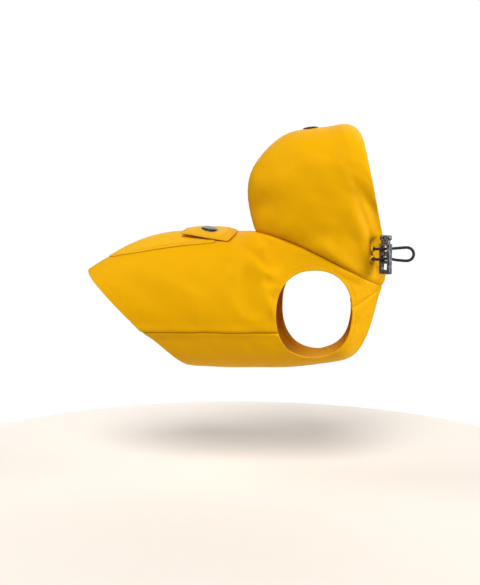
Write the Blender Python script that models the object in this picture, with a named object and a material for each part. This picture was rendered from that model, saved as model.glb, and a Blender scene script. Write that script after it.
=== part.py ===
"""A dog's hooded raincoat, filled out as if it were worn and open at the neck, hem, armholes and face.

Row frame, in metres: +X points to the head, +Z up, and the near side is -Y. The origin is on the
inside of the back over the withers, where the wearer carries the coat. The tables below are in
millimetres. Both the body and the hood are tubes of cloth through rings: each ring is one row, from
a point on the top line to a point on the bottom line, with the width between them.
"""

import math
from collections import namedtuple

import bmesh
import bpy
import numpy as np
from mathutils import Vector

MM = 0.001
HALF_TURN = math.pi
SHARP_ANGLE = math.radians(40)

# Driving dimensions
CLOTH = 1.6
SEAM_GAP = 0.34
REST_GAP = 0.3

# top and bottom are the ends of a ring in the mid-plane. egg widens a ring's upper half, bow carries
# its sides back, or up where it is below 0, more so above the middle, and square fills its corners.
BOW_SKEW = 0.9
Ring = namedtuple("Ring", "top_x top_z bottom_x bottom_z half_width egg bow square")
BODY_RINGS = (
    Ring(-148, -37.0, -45.5, -134.0, 50.5, 0.00, -1.0, 0.02),
    Ring(-126, -23.6, -33, -135.0, 53.5, 0.00, -0.5, 0.03),
    Ring(-98, -12.6, -17.5, -135.5, 56.0, 0.00, 0.0, 0.03),
    Ring(-69, -5.6, 0, -135.8, 58.0, 0.00, 0.0, 0.03),
    Ring(-40.5, -1.8, 19, -135.4, 59.0, 0.00, 0.0, 0.03),
    Ring(-18, 0.2, 42.5, -134.3, 59.0, 0.00, 0.0, 0.03),
    Ring(-1, 1.6, 70.5, -132.0, 58.0, 0.00, 0.0, 0.03),
    Ring(9, 1.8, 97.5, -128.0, 56.5, 0.00, -0.5, 0.02),
    Ring(15, 1.8, 119, -120.5, 54.5, 0.00, -1.2, 0.01),
    Ring(18, 1.6, 133, -96.5, 52.0, 0.00, -2.0, 0.00),
    Ring(19.5, 1.6, 141, -68.0, 49.5, 0.00, -3.5, 0.00),
    Ring(20.5, 1.6, 145.5, -51.2, 47.5, 0.00, -4.8, 0.00),
)
HOOD_RINGS = (
    Ring(20.5, 1.6, 145.5, -51.2, 47.5, 0.00, -4.8, 0.00),
    Ring(16, 18, 146.6, -49.5, 51.0, 0.04, -3.2, 0.00),
    Ring(13.2, 36, 147.5, -48, 53.0, 0.08, -1.7, 0.00),
    Ring(14.6, 54, 148, -46.6, 54.0, 0.12, -0.6, 0.00),
    Ring(22, 70, 148.3, -45, 54.5, 0.14, 0.0, 0.00),
    Ring(36, 86, 148.6, -43, 54.5, 0.15, 0.0, 0.00),
    Ring(54, 97.7, 149, -41.2, 54.0, 0.15, 0.0, 0.00),
    Ring(75, 101.6, 147.6, -38.8, 52.0, 0.20, 0.0, 0.00),
    Ring(93.5, 103.6, 145.1, -36.5, 48.5, 0.27, 0.0, 0.00),
    Ring(109, 104.5, 144.5, -31.5, 45.0, 0.32, 0.0, 0.00),
    Ring(118.5, 100.5, 145.8, -26.5, 42.5, 0.36, 0.0, 0.00),
    Ring(124.3, 92.5, 148.7, -21, 40.5, 0.38, 0.0, 0.00),
)
LAST_RING = len(BODY_RINGS) - 1
NAPE_END_RING = 3.3

# The armhole, seen from the side: a rounded upright oval. Its angles are counted from the front.
Oval = namedtuple("Oval", "centre_x centre_z half_length half_height roundness")
ARMHOLE = Oval(80.5, -77.0, 35.9, 42.7, 2.3)
ARMHOLE_SHOULDER = math.radians(7)
ARMHOLE_TOP_REAR = math.radians(125)
ARMHOLE_SIDE_SEAM = math.radians(200)
SIDE_SEAM_AT_HEM = math.radians(102.4)
SHOULDER_SEAM_AT_NECK = math.radians(171)

# The chest panel turns in under the side seam, deepest a little below it.
TUCK_DEPTH = 1.2
TUCK_REACH = 12.0
TUCK_FADE_START = 20.0
TUCK_FADE_END = 50.0

# Large soft folds, seen from the side: ridges have a height above 0 and troughs below it. They fade
# out towards the centre line, where the two sides join.
FOLD_FADE = 18.0
Fold = namedtuple("Fold", "from_x from_z from_width to_x to_z to_width height")
BODY_FOLDS_RIGHT = (
    Fold(-2, -26, 5, -22, -88, 15, -1.2),
    Fold(8, -24, 5, 14, -84, 13, 1.3),
    Fold(28, -20, 5, 40, -42, 8, -1.2),
    Fold(-60, -30, 9, -78, -70, 14, 0.9),
    Fold(-36, -104, 7, 30, -106, 6, 0.8),
    Fold(96, -116, 5, 122, -88, 6, -0.9),
)
BODY_FOLDS_LEFT = (
    Fold(4, -22, 6, -12, -86, 14, -1.3),
    Fold(16, -26, 5, 24, -80, 11, 1.1),
    Fold(34, -18, 5, 44, -46, 7, -1.0),
    Fold(-70, -34, 10, -64, -76, 13, 0.9),
    Fold(-30, -108, 7, 22, -104, 6, 0.7),
    Fold(92, -118, 5, 118, -94, 6, -0.9),
)
HOOD_FOLDS_RIGHT = (
    Fold(26, 26, 7, 34, 52, 9, -1.3),
    Fold(52, 0, 6, 74, 30, 11, 1.0),
    Fold(98, -6, 5, 112, 34, 9, -1.1),
    Fold(60, 74, 12, 88, 62, 14, 0.9),
)
HOOD_FOLDS_LEFT = (
    Fold(30, 22, 7, 36, 50, 10, -1.2),
    Fold(58, -2, 6, 78, 34, 11, 1.0),
    Fold(94, -8, 5, 110, 28, 9, -1.0),
    Fold(54, 70, 12, 84, 66, 13, 0.8),
)

# The drawcord's tunnel runs along the hood's front edge.
TUNNEL_RING = 8.0
TUNNEL_STEP = 0.3
TUNNEL_RISE = 0.8

# Grid steps along and across the panels, and the rings where the steps along the centre line and the
# belly line change over
NAPE_START_RING = 5.3
BELLY_FRONT_RING = 5.0
SHOULDER_RING = 9.2
SIDE_SEAM_STEPS = 12
ARMHOLE_REAR_STEPS = 5
ARMHOLE_FRONT_STEPS = 15
ARMHOLE_LOW_STEPS = 10
SHOULDER_STEPS = 3
BACK_STEPS_ACROSS = 9
CHEST_STEPS_ACROSS = 6
HOOD_STEPS_TO_TUNNEL = 11
TUNNEL_STEPS = 3

# The pocket, its flap and the flap's stud sit turned round the coat towards the near side.
TWIST = math.radians(8)
TWIST_CENTRE_Z = -59.0

# The pocket is a patch on the back, rounded at its rear end and open at its front one. It swells
# off the back along its middle, and its mouth stands a little off it.
POCKET_CLOTH = 1.2
POCKET_GAP = 0.45
POCKET_REAR_RING = 1.0
POCKET_FULL_RING = 3.2
POCKET_MOUTH_RING = 4.9
POCKET_HALF_ANGLE = math.radians(25)
POCKET_ROUNDNESS = 2.1
POCKET_RISE = 4.1
POCKET_RISE_POWER = 1.5
POCKET_MOUTH_RISE = 0.3
POCKET_END_STEPS = 7
POCKET_STEPS_ALONG = 5
POCKET_STEPS_ACROSS = 10

# The flap is sewn down at its front edge and stands out over the pocket's mouth, flatter and less
# turned towards its rear edge.
FLAP_CLOTH = 1.3
FLAP_SEAM_RING = 6.33
FLAP_SEAM_SWEEP = 0.8
FLAP_HALF_ANGLE = math.radians(25)
FLAP_REAR_X = -48.0
FLAP_REAR_SKEW = 2.0
FLAP_REAR_TWIST = math.radians(3.5)
FLAP_HALF_WIDTH = 26.0
FLAP_CROWN = (5.5, 5.7, -6.7)
FLAP_DROP_REAR = 2.1
FLAP_DROP_SEAM = 9.6
FLAP_STEPS_ALONG = 10
FLAP_STEPS_ACROSS = 12

# Press-stud caps: low domes with a rounded edge, whose profile is in shares of radius and height
FLAP_CAP_RADIUS = 8.2
FLAP_CAP_X = -24.0
FLAP_CAP_ACROSS = 0.25
FLAP_CAP_LEAN = math.radians(9)
FLAP_CAP_DIP = 1.6
FLAP_CAP_REACH = 13.5
HOOD_CAP_RADIUS = 7.7
HOOD_CAP_X = 74.5
CAP_HEIGHT = 1.8
CAP_PROFILE = ((0, 1), (0.5, 0.93), (0.8, 0.72), (0.96, 0.42), (1, 0.18), (0.96, 0), (0, 0))

# Cord lock, about its own upright axis: wide faces to the rear right and the front left
LOCK_X, LOCK_Y = 147.1, -34.5
LOCK_TURN = math.radians(-33)
BARREL_WIDTH, BARREL_DEPTH = 11.2, 6.2
BARREL_TOP, BARREL_BOTTOM = -9.4, -38.2
HOLE_HEIGHTS = (-14.2, -23.5)
HOLE_RADIUS = 3.5
RIM_RADIUS = 4.6
RIM_RISE = 0.4
WINDOW_WIDTH, WINDOW_TOP, WINDOW_BOTTOM = 6.4, -28.2, -34.1
SOCKET_BOTTOM = -30.9
STEM_WIDTH, STEM_DEPTH, STEM_BOTTOM = 7.8, 3.7, -27.2
STEM_SLOT_WIDTH, STEM_SLOT_TOP, STEM_SLOT_BOTTOM = 5.2, -9.7, -25.2
HEAD_WIDTH, HEAD_DEPTH, HEAD_TOP, HEAD_BOTTOM = 10.8, 5.9, -1.2, -6.2
HEAD_EYE_WIDTH, HEAD_EYE_TOP, HEAD_EYE_BOTTOM = 3.4, -3.0, -4.8
SLIDE_GAP = 0.3
CUT_OVERRUN = 4.0
BARREL_ROUNDING, HEAD_ROUNDING = 1.0, 1.3

# Drawcord: out of the upper eyelet, through the lock, round its loop and back to the lower eyelet
CORD_RADIUS = 1.35
CORD_STEP = 2.2
STRAND_BEND_X, STRAND_BEND_Y, STRAND_BEND_RADIUS = 140.4, -31.4, 6.8
LOOP_BEND_X, LOOP_BEND_Z, LOOP_BEND_RADIUS, LOOP_Y = 167.6, -19.4, 6.3, -28.4
CURVE_SAMPLES = 2000

# Eyelets on the hood's right side, each a flanged ring with a rolled rim round its bore
EYELET_X = 134.5
EYELET_RADIUS = 3.2
EYELET_BORE = CORD_RADIUS + REST_GAP
EYELET_PROFILE = (
    (EYELET_BORE, 0),
    (EYELET_BORE, 1.0),
    (EYELET_BORE + 0.4, 1.35),
    (EYELET_RADIUS - 0.5, 1.2),
    (EYELET_RADIUS, 0.6),
    (EYELET_RADIUS, 0),
)

Finish = namedtuple("Finish", "colour metallic roughness")
FINISHES = {
    "cloth": Finish((0.78, 0.36, 0.012), 0.0, 0.55),
    "pocket": Finish((0.80, 0.42, 0.03), 0.0, 0.55),
    "cord": Finish((0.01, 0.01, 0.011), 0.0, 0.8),
    "cap": Finish((0.012, 0.012, 0.014), 0.0, 0.2),
    "enamel": Finish((0.78, 0.36, 0.012), 0.0, 0.3),
    "metal": Finish((0.16, 0.17, 0.19), 1.0, 0.35),
}


def smooth_rows(rows, number):
    """The columns of a table at any row number: a natural cubic through every row."""
    values = np.array(rows, float)
    count = len(values)
    system = np.eye(count)
    pull = np.zeros_like(values)
    for row in range(1, count - 1):
        system[row, row - 1 : row + 2] = 1, 4, 1
        pull[row] = 6 * (values[row - 1] - 2 * values[row] + values[row + 1])
    bend = np.linalg.solve(system, pull)
    low = np.clip(np.floor(number).astype(int), 0, count - 2)
    after = (number - low)[..., None]
    before = 1 - after
    straight = before * values[low] + after * values[low + 1]
    return straight + ((before**3 - before) * bend[low] + (after**3 - after) * bend[low + 1]) / 6


def tube_points(rings, number, angle):
    """Points on a tube. number runs along the rings; angle is 0 at the top and half a turn at the
    bottom, positive round the near side and negative round the far one."""
    number, angle = np.broadcast_arrays(np.asarray(number, float), np.asarray(angle, float))
    columns = np.moveaxis(smooth_rows(rings, number), -1, 0)
    top_x, top_z, bottom_x, bottom_z, half_width, egg, bow, square = columns
    half_x, half_z = (top_x - bottom_x) / 2, (top_z - bottom_z) / 2
    half = np.hypot(half_x, half_z)
    cosine, sine = np.cos(angle), np.sin(angle)
    swell = 1 + square * np.sin(2 * angle) ** 2
    back = bow * sine**2 * (1 + BOW_SKEW * cosine) / half
    x = (top_x + bottom_x) / 2 + swell * cosine * half_x - back * half_z
    z = (top_z + bottom_z) / 2 + swell * cosine * half_z + back * half_x
    y = -swell * half_width * sine * (1 + egg * cosine)
    return np.stack([x, y, z], -1)


def unit(vectors):
    return vectors / np.linalg.norm(vectors, axis=-1, keepdims=True)


def outward(rings, number, angle, step=0.01):
    """The directions out of a tube's smooth surface, from its slopes along and round it."""
    along = tube_points(rings, number + step, angle) - tube_points(rings, number - step, angle)
    round_it = tube_points(rings, number, angle + step) - tube_points(rings, number, angle - step)
    return unit(np.cross(round_it, along))


def fold_height(points, folds):
    """How far folds raise points. A fold is a round-backed ridge or trough along a straight line
    in the side view, whose width changes evenly from one end to the other."""
    height = np.zeros(points.shape[:-1])
    for fold in folds:
        run = np.array([fold.to_x - fold.from_x, fold.to_z - fold.from_z])
        offset = points[..., [0, 2]] - (fold.from_x, fold.from_z)
        along = np.clip(offset @ run / (run @ run), 0, 1)
        away = np.linalg.norm(offset - along[..., None] * run, axis=-1)
        width = fold.from_width + along * (fold.to_width - fold.from_width)
        height += fold.height * np.exp(-((away / width) ** 2))
    return height * np.clip(np.abs(points[..., 1]) / FOLD_FADE, 0, 1) ** 2


def side_seam_points(steps):
    """The right side seam in rings and angles: straight, as seen from the side."""
    start = tube_points(BODY_RINGS, 0, SIDE_SEAM_AT_HEM)[[0, 2]]
    end = armhole_outline(ARMHOLE_SIDE_SEAM)
    share = np.linspace(0, 1, steps + 1)[:, None]
    places = locate(BODY_RINGS, start + share * (end - start))
    places[0] = 0, SIDE_SEAM_AT_HEM
    return places


def armhole_outline(angle):
    """A superellipse in the side view."""
    power = 2 / ARMHOLE.roundness
    cosine, sine = np.cos(angle), np.sin(angle)
    x = ARMHOLE.centre_x + ARMHOLE.half_length * np.sign(cosine) * np.abs(cosine) ** power
    z = ARMHOLE.centre_z + ARMHOLE.half_height * np.sign(sine) * np.abs(sine) ** power
    return np.stack([x, z], -1)


def armhole_points(start, end, steps):
    return locate(BODY_RINGS, armhole_outline(np.linspace(start, end, steps + 1)))


def locate(rings, targets):
    """Rings and angles of the right-hand points that the side view shows at targets, by Newton's
    method from the nearest point of a coarse grid."""
    number, angle = np.meshgrid(np.linspace(0, LAST_RING, 45), np.linspace(0.05, HALF_TURN - 0.05, 60))
    coarse = tube_points(rings, number, angle)[..., [0, 2]].reshape(-1, 2)
    targets = np.asarray(targets, float)
    nearest = np.linalg.norm(coarse[None] - targets[:, None], axis=-1).argmin(1)
    places = np.stack([number.ravel()[nearest], angle.ravel()[nearest]], -1)
    step = 1e-4
    for _ in range(25):
        here = tube_points(rings, places[:, 0], places[:, 1])[:, [0, 2]]
        by_number = tube_points(rings, places[:, 0] + step, places[:, 1])[:, [0, 2]] - here
        by_angle = tube_points(rings, places[:, 0], places[:, 1] + step)[:, [0, 2]] - here
        slopes = np.stack([by_number, by_angle], -1) / step
        change = np.linalg.solve(slopes, (targets - here)[..., None])[..., 0]
        places += np.clip(change, -0.4, 0.4)
    return places


def straight(start, end, steps):
    return np.linspace(start, end, steps + 1)


def joined(*runs):
    """Runs of places end to end, each run's first place being the last one's end."""
    return np.concatenate([runs[0]] + [run[1:] for run in runs[1:]])


def ruled(first_side, second_side, steps):
    """A grid of places on straight lines from one side of a panel to the other."""
    share = np.linspace(0, 1, steps + 1)[None, :, None]
    return first_side[:, None] * (1 - share) + second_side[:, None] * share


def body_relief(points, folds):
    """Folds, and the chest panel's tuck: a dip below the side seam that fades by the armhole."""
    seam = tube_points(BODY_RINGS, 0, SIDE_SEAM_AT_HEM)
    end = armhole_outline(ARMHOLE_SIDE_SEAM)
    seam_z = seam[2] + (points[..., 0] - seam[0]) * (end[1] - seam[2]) / (end[0] - seam[0])
    below = np.maximum(seam_z - points[..., 2], 0) / TUCK_REACH
    fade = np.clip((TUCK_FADE_END - points[..., 0]) / (TUCK_FADE_END - TUCK_FADE_START), 0, 1)
    return fold_height(points, folds) - TUCK_DEPTH * fade * below * np.exp(1 - below)


def hood_relief(points, number, folds):
    """Folds, and the raised tunnel for the drawcord along the front edge."""
    rise = np.clip((number - TUNNEL_RING) / TUNNEL_STEP, 0, 1)
    return fold_height(points, folds) + TUNNEL_RISE * rise


def body_patch(places, folds):
    """The outer and inner points of one half of a body panel."""
    number, angle = places[..., 0], places[..., 1]
    points, normals = tube_points(BODY_RINGS, number, angle), outward(BODY_RINGS, number, angle)
    outer = points + normals * body_relief(points, folds)[..., None]
    return np.stack([outer, outer - CLOTH * normals])


def hood_patch(places, folds):
    """The outer and inner points of one half of the hood. The tunnel only thickens it outwards."""
    number, angle = places[..., 0], places[..., 1]
    points, normals = tube_points(HOOD_RINGS, number, angle), outward(HOOD_RINGS, number, angle)
    outer = points + normals * hood_relief(points, number, folds)[..., None]
    inner = points + normals * (fold_height(points, folds) - CLOTH)[..., None]
    return np.stack([outer, inner])


def draw_in(patch, edge, neighbour):
    """Moves a patch's edge half a seam gap towards the points next to it."""
    patch[edge] += unit(patch[neighbour] - patch[edge]) * SEAM_GAP / 2


def mirrored(patch):
    return patch * (1, -1, 1)


def wall_object(name, patches, finish):
    """A closed wall of cloth from patches of outer and inner points. Points that patches share are
    joined, and every open edge gets a rim. A patch on the left side turns the other way."""
    pairs, known, faces = [], {}, []
    for patch, is_left in patches:
        outer, inner = patch
        ids = np.zeros(outer.shape[:2], int)
        for place in np.ndindex(ids.shape):
            key = tuple(np.round(outer[place], 3) + 0.0)
            if key not in known:
                known[key] = len(pairs)
                pairs.append((outer[place], inner[place]))
            ids[place] = known[key]
        for row in range(ids.shape[0] - 1):
            for column in range(ids.shape[1] - 1):
                corners = [ids[row, column], ids[row, column + 1], ids[row + 1, column + 1],
                           ids[row + 1, column]]
                corners = [int(c) for k, c in enumerate(corners) if c != corners[k - 1]]
                if len(corners) > 2:
                    faces.append(corners[::-1] if is_left else corners)
    count = len(pairs)
    edges = {edge for face in faces for edge in zip(face, face[1:] + face[:1])}
    rims = [(b, a, a + count, b + count) for a, b in sorted(edges) if (b, a) not in edges]
    inner_faces = [[corner + count for corner in reversed(face)] for face in faces]
    vertices = [outer for outer, _ in pairs] + [inner for _, inner in pairs]
    mesh = bpy.data.meshes.new(name)
    mesh.from_pydata(np.array(vertices) * MM, [], faces + inner_faces + rims)
    return finished(name, mesh, finish)


def finished(name, mesh, finish):
    """An object of a mesh, smooth but for its sharp edges, with its own material."""
    mesh.shade_smooth()
    mesh.set_sharp_from_angle(angle=SHARP_ANGLE)
    thing = bpy.data.objects.new(name, mesh)
    bpy.context.collection.objects.link(thing)
    thing.data.materials.append(material(name, finish))
    return thing


def material(name, finish):
    made = bpy.data.materials.new(name)
    made.use_nodes = True
    shader = made.node_tree.nodes["Principled BSDF"]
    shader.inputs["Base Color"].default_value = (*FINISHES[finish].colour, 1)
    shader.inputs["Metallic"].default_value = FINISHES[finish].metallic
    shader.inputs["Roughness"].default_value = FINISHES[finish].roughness
    return made


def body_places():
    """The places of the right half of the back panel and of the chest panel. Both meet along the
    side seam and the shoulder seam, and each is cut short by the armhole between them."""
    side_seam = side_seam_points(SIDE_SEAM_STEPS)
    armhole_rear = armhole_points(ARMHOLE_SIDE_SEAM, ARMHOLE_TOP_REAR, ARMHOLE_REAR_STEPS)
    armhole_front = armhole_points(ARMHOLE_TOP_REAR, ARMHOLE_SHOULDER, ARMHOLE_FRONT_STEPS)
    armhole_low = armhole_points(ARMHOLE_SIDE_SEAM, ARMHOLE_SHOULDER + 2 * HALF_TURN, ARMHOLE_LOW_STEPS)
    corner = (LAST_RING, SHOULDER_SEAM_AT_NECK)
    centre_line = joined(
        straight((0, 0), (NAPE_START_RING, 0), SIDE_SEAM_STEPS),
        straight((NAPE_START_RING, 0), (LAST_RING, 0), ARMHOLE_REAR_STEPS),
        straight((LAST_RING, 0), corner, ARMHOLE_FRONT_STEPS),
    )
    belly_line = joined(
        straight((0, HALF_TURN), (BELLY_FRONT_RING, HALF_TURN), SIDE_SEAM_STEPS),
        straight((BELLY_FRONT_RING, HALF_TURN), (SHOULDER_RING, HALF_TURN), ARMHOLE_LOW_STEPS),
        straight((SHOULDER_RING, HALF_TURN), (LAST_RING, HALF_TURN), SHOULDER_STEPS),
    )
    back_edge = joined(side_seam, armhole_rear, armhole_front)
    chest_edge = joined(side_seam, armhole_low, straight(armhole_low[-1], corner, SHOULDER_STEPS))
    back = ruled(centre_line, back_edge, BACK_STEPS_ACROSS)
    chest = ruled(chest_edge, belly_line, CHEST_STEPS_ACROSS)
    return back, chest


def back_half(folds):
    patch = body_patch(body_places()[0], folds)
    nape = SIDE_SEAM_STEPS + ARMHOLE_REAR_STEPS
    every = slice(None)
    draw_in(patch, (every, nape, 0), (every, nape - 1, 0))
    draw_in(patch, (every, slice(nape + 1, None), 0), (every, slice(nape + 1, None), 1))
    side = slice(0, SIDE_SEAM_STEPS + 1)
    draw_in(patch, (every, side, -1), (every, side, -2))
    draw_in(patch, (every, -1), (every, -2))
    return patch


def chest_half(folds):
    patch = body_patch(body_places()[1], folds)
    every = slice(None)
    side = slice(0, SIDE_SEAM_STEPS + 1)
    shoulder = slice(-SHOULDER_STEPS - 1, None)
    draw_in(patch, (every, side, 0), (every, side, 1))
    draw_in(patch, (every, shoulder, 0), (every, shoulder, 1))
    draw_in(patch, (every, -1), (every, -2))
    return patch


def hood_half(folds):
    """One half of the hood, from the neck seam to the front edge and from crown to throat."""
    to_tunnel = np.linspace(0, TUNNEL_RING, HOOD_STEPS_TO_TUNNEL + 1)
    numbers = np.concatenate([to_tunnel, np.linspace(TUNNEL_RING + TUNNEL_STEP, LAST_RING, TUNNEL_STEPS + 1)])
    angles = np.concatenate([
        np.linspace(0, SHOULDER_SEAM_AT_NECK, ARMHOLE_FRONT_STEPS + 1),
        [(SHOULDER_SEAM_AT_NECK + HALF_TURN) / 2, HALF_TURN],
    ])
    patch = hood_patch(np.stack(np.meshgrid(numbers, angles, indexing="ij"), -1), folds)
    every = slice(None)
    draw_in(patch, (every, 0), (every, 1))
    draw_in(patch, (every, every, 0), (every, every, 1))
    draw_in(patch, (every, every, -1), (every, every, -2))
    return patch


def back_surface(number, angle, lift):
    """Points over the back panel's outside, moved out by lift, on both sides of the centre line."""
    points, normals = tube_points(BODY_RINGS, number, angle), outward(BODY_RINGS, number, angle)
    right = points[..., 1:2] < 0
    relief = np.where(right[..., 0], body_relief(points, BODY_FOLDS_RIGHT),
                      body_relief(points, BODY_FOLDS_LEFT))
    return points + normals * (relief + lift)[..., None]


def pocket():
    """A U-shaped patch. Its half angle follows a superellipse from its rear end to its full width.
    It rises off the back between its seams, most of all halfway along."""
    turn = np.linspace(0, HALF_TURN / 2, POCKET_END_STEPS + 1)
    power = 2 / POCKET_ROUNDNESS
    end = POCKET_FULL_RING - (POCKET_FULL_RING - POCKET_REAR_RING) * np.abs(np.cos(turn)) ** power
    rest = np.linspace(POCKET_FULL_RING, POCKET_MOUTH_RING, POCKET_STEPS_ALONG + 1)
    numbers = np.concatenate([end, rest[1:]])
    half_angle = POCKET_HALF_ANGLE * np.concatenate([np.sin(turn) ** power, np.ones(POCKET_STEPS_ALONG)])
    across = np.linspace(-1, 1, POCKET_STEPS_ACROSS + 1)
    angle = TWIST + half_angle[:, None] * across
    number = np.broadcast_to(numbers[:, None], angle.shape)
    share = (numbers[:, None] - POCKET_REAR_RING) / (POCKET_MOUTH_RING - POCKET_REAR_RING)
    swell = POCKET_RISE * np.abs(np.sin(HALF_TURN * share)) ** POCKET_RISE_POWER
    rise = (swell + POCKET_MOUTH_RISE * share**4) * (1 - across**4)
    inner = back_surface(number, angle, POCKET_GAP + rise)
    outer = back_surface(number, angle, POCKET_GAP + POCKET_CLOTH + rise)
    return np.stack([outer, inner])


def flap_points(along, across):
    """The flap's top side. along runs from 0 at its seam to 1 at its rear edge, across from -1 on
    the left to 1 on the right. Near the seam it takes the back's own shape, and it flattens
    towards the rear, where its cross-section is a shallow arch. Its stud pulls the cloth within
    its reach down, more so in front of it than behind it."""
    seam_number = FLAP_SEAM_RING - FLAP_SEAM_SWEEP * across**2
    seam = back_surface(seam_number, TWIST + FLAP_HALF_ANGLE * across,
                        np.full(across.shape, REST_GAP + FLAP_CLOTH))
    seam_x = tube_points(BODY_RINGS, FLAP_SEAM_RING, 0.0)[0]

    def arch(share):
        crown = FLAP_CROWN[0] + FLAP_CROWN[1] * share + FLAP_CROWN[2] * share**2
        drop = FLAP_DROP_SEAM + (FLAP_DROP_REAR - FLAP_DROP_SEAM) * share**2
        x = seam_x + share * (FLAP_REAR_X - FLAP_REAR_SKEW * across - seam_x)
        away = np.hypot(x - FLAP_CAP_X, FLAP_HALF_WIDTH * (across - FLAP_CAP_ACROSS)) / FLAP_CAP_REACH
        dent = (FLAP_CAP_DIP + math.tan(FLAP_CAP_LEAN) * (x - FLAP_CAP_X)) * np.exp(-(away**4))
        y, z = -FLAP_HALF_WIDTH * across, crown - drop * across**2 - dent - TWIST_CENTRE_Z
        twist = TWIST + share * (FLAP_REAR_TWIST - TWIST)
        cosine, sine = np.cos(twist), np.sin(twist)
        return np.stack([x, y * cosine - z * sine, y * sine + z * cosine + TWIST_CENTRE_Z], -1)

    return arch(along) + ((1 - along) ** 4)[..., None] * (seam - arch(np.zeros(across.shape)))


def flap_cap_seat():
    """Where the flap's stud sits, and the direction out of the flap there."""
    seam_x = tube_points(BODY_RINGS, FLAP_SEAM_RING, 0.0)[0]
    rear_x = FLAP_REAR_X - FLAP_REAR_SKEW * FLAP_CAP_ACROSS
    along = np.array([(FLAP_CAP_X - seam_x) / (rear_x - seam_x)])
    across = np.array([FLAP_CAP_ACROSS])
    step = 0.01
    slope_along = flap_points(along + step, across) - flap_points(along - step, across)
    slope_across = flap_points(along, across + step) - flap_points(along, across - step)
    return flap_points(along, across)[0], unit(np.cross(slope_along, slope_across))[0]


def flap():
    along, across = np.meshgrid(np.linspace(0, 1, FLAP_STEPS_ALONG + 1),
                                np.linspace(-1, 1, FLAP_STEPS_ACROSS + 1), indexing="ij")
    outer = flap_points(along, across)
    normals = unit(np.cross(np.gradient(outer, axis=0), np.gradient(outer, axis=1)))
    return np.stack([outer, outer - FLAP_CLOTH * normals])


def turned(name, profile, centre, axis, finish, segments=28):
    """A profile of radius and height pairs, turned about an axis through centre."""
    shape = bmesh.new()
    rows = [shape.verts.new((radius * MM, 0, height * MM)) for radius, height in profile]
    closed = profile[0][0] > 0
    edges = [shape.edges.new(pair) for pair in zip(rows, rows[1:] + rows[:1] if closed else rows[1:])]
    bmesh.ops.spin(shape, geom=rows + edges, cent=(0, 0, 0), axis=(0, 0, 1), angle=2 * math.pi,
                   steps=segments, use_merge=True)
    bmesh.ops.remove_doubles(shape, verts=shape.verts, dist=1e-6)
    bmesh.ops.recalc_face_normals(shape, faces=shape.faces)
    mesh = bpy.data.meshes.new(name)
    shape.to_mesh(mesh)
    shape.free()
    thing = finished(name, mesh, finish)
    thing.rotation_euler = Vector(axis).to_track_quat("Z", "Y").to_euler()
    thing.location = Vector(centre) * MM
    return thing


def cap(name, point, normal, radius):
    """A press stud's cap on the cloth at a point."""
    profile = [(radius * across, CAP_HEIGHT * up) for across, up in CAP_PROFILE]
    return turned(name, profile, point + REST_GAP * normal, normal, "cap")


def box(name, size, centre, owner, bevel=0.0, finish=None):
    """A box given by its size and centre in its owner's own directions."""
    shape = bmesh.new()
    bmesh.ops.create_cube(shape, size=1)
    bmesh.ops.scale(shape, vec=Vector(size) * MM, verts=shape.verts)
    bmesh.ops.translate(shape, vec=Vector(centre) * MM, verts=shape.verts)
    return solid(name, shape, owner, bevel, finish)


def rod(name, radius, length, height, owner, segments=24):
    """A round rod through the lock from one wide face to the other."""
    shape = bmesh.new()
    bmesh.ops.create_cone(shape, cap_ends=True, segments=segments, radius1=radius * MM,
                          radius2=radius * MM, depth=length * MM)
    bmesh.ops.rotate(shape, cent=(0, 0, 0), verts=shape.verts,
                     matrix=Vector((0, 1, 0)).to_track_quat("Z", "X").to_matrix())
    bmesh.ops.translate(shape, vec=(0, 0, height * MM), verts=shape.verts)
    return solid(name, shape, owner)


def solid(name, shape, owner, bevel=0.0, finish=None):
    """An object of a shape in its owner's frame: a piece if it has a finish, and else a cutter."""
    mesh = bpy.data.meshes.new(name)
    shape.to_mesh(mesh)
    shape.free()
    if finish:
        thing = finished(name, mesh, finish)
    else:
        thing = bpy.data.objects.new(name, mesh)
        bpy.context.collection.objects.link(thing)
        thing.hide_render = True
        thing.display_type = "WIRE"
    thing.parent = owner
    if bevel:
        rounding = thing.modifiers.new("rounding", "BEVEL")
        rounding.width = bevel * MM
        rounding.segments = 2
        rounding.limit_method = "ANGLE"
    return thing


def combine(thing, operation, others):
    for other in others:
        step = thing.modifiers.new(other.name, "BOOLEAN")
        step.operation = operation
        step.solver = "EXACT"
        step.object = other


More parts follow.
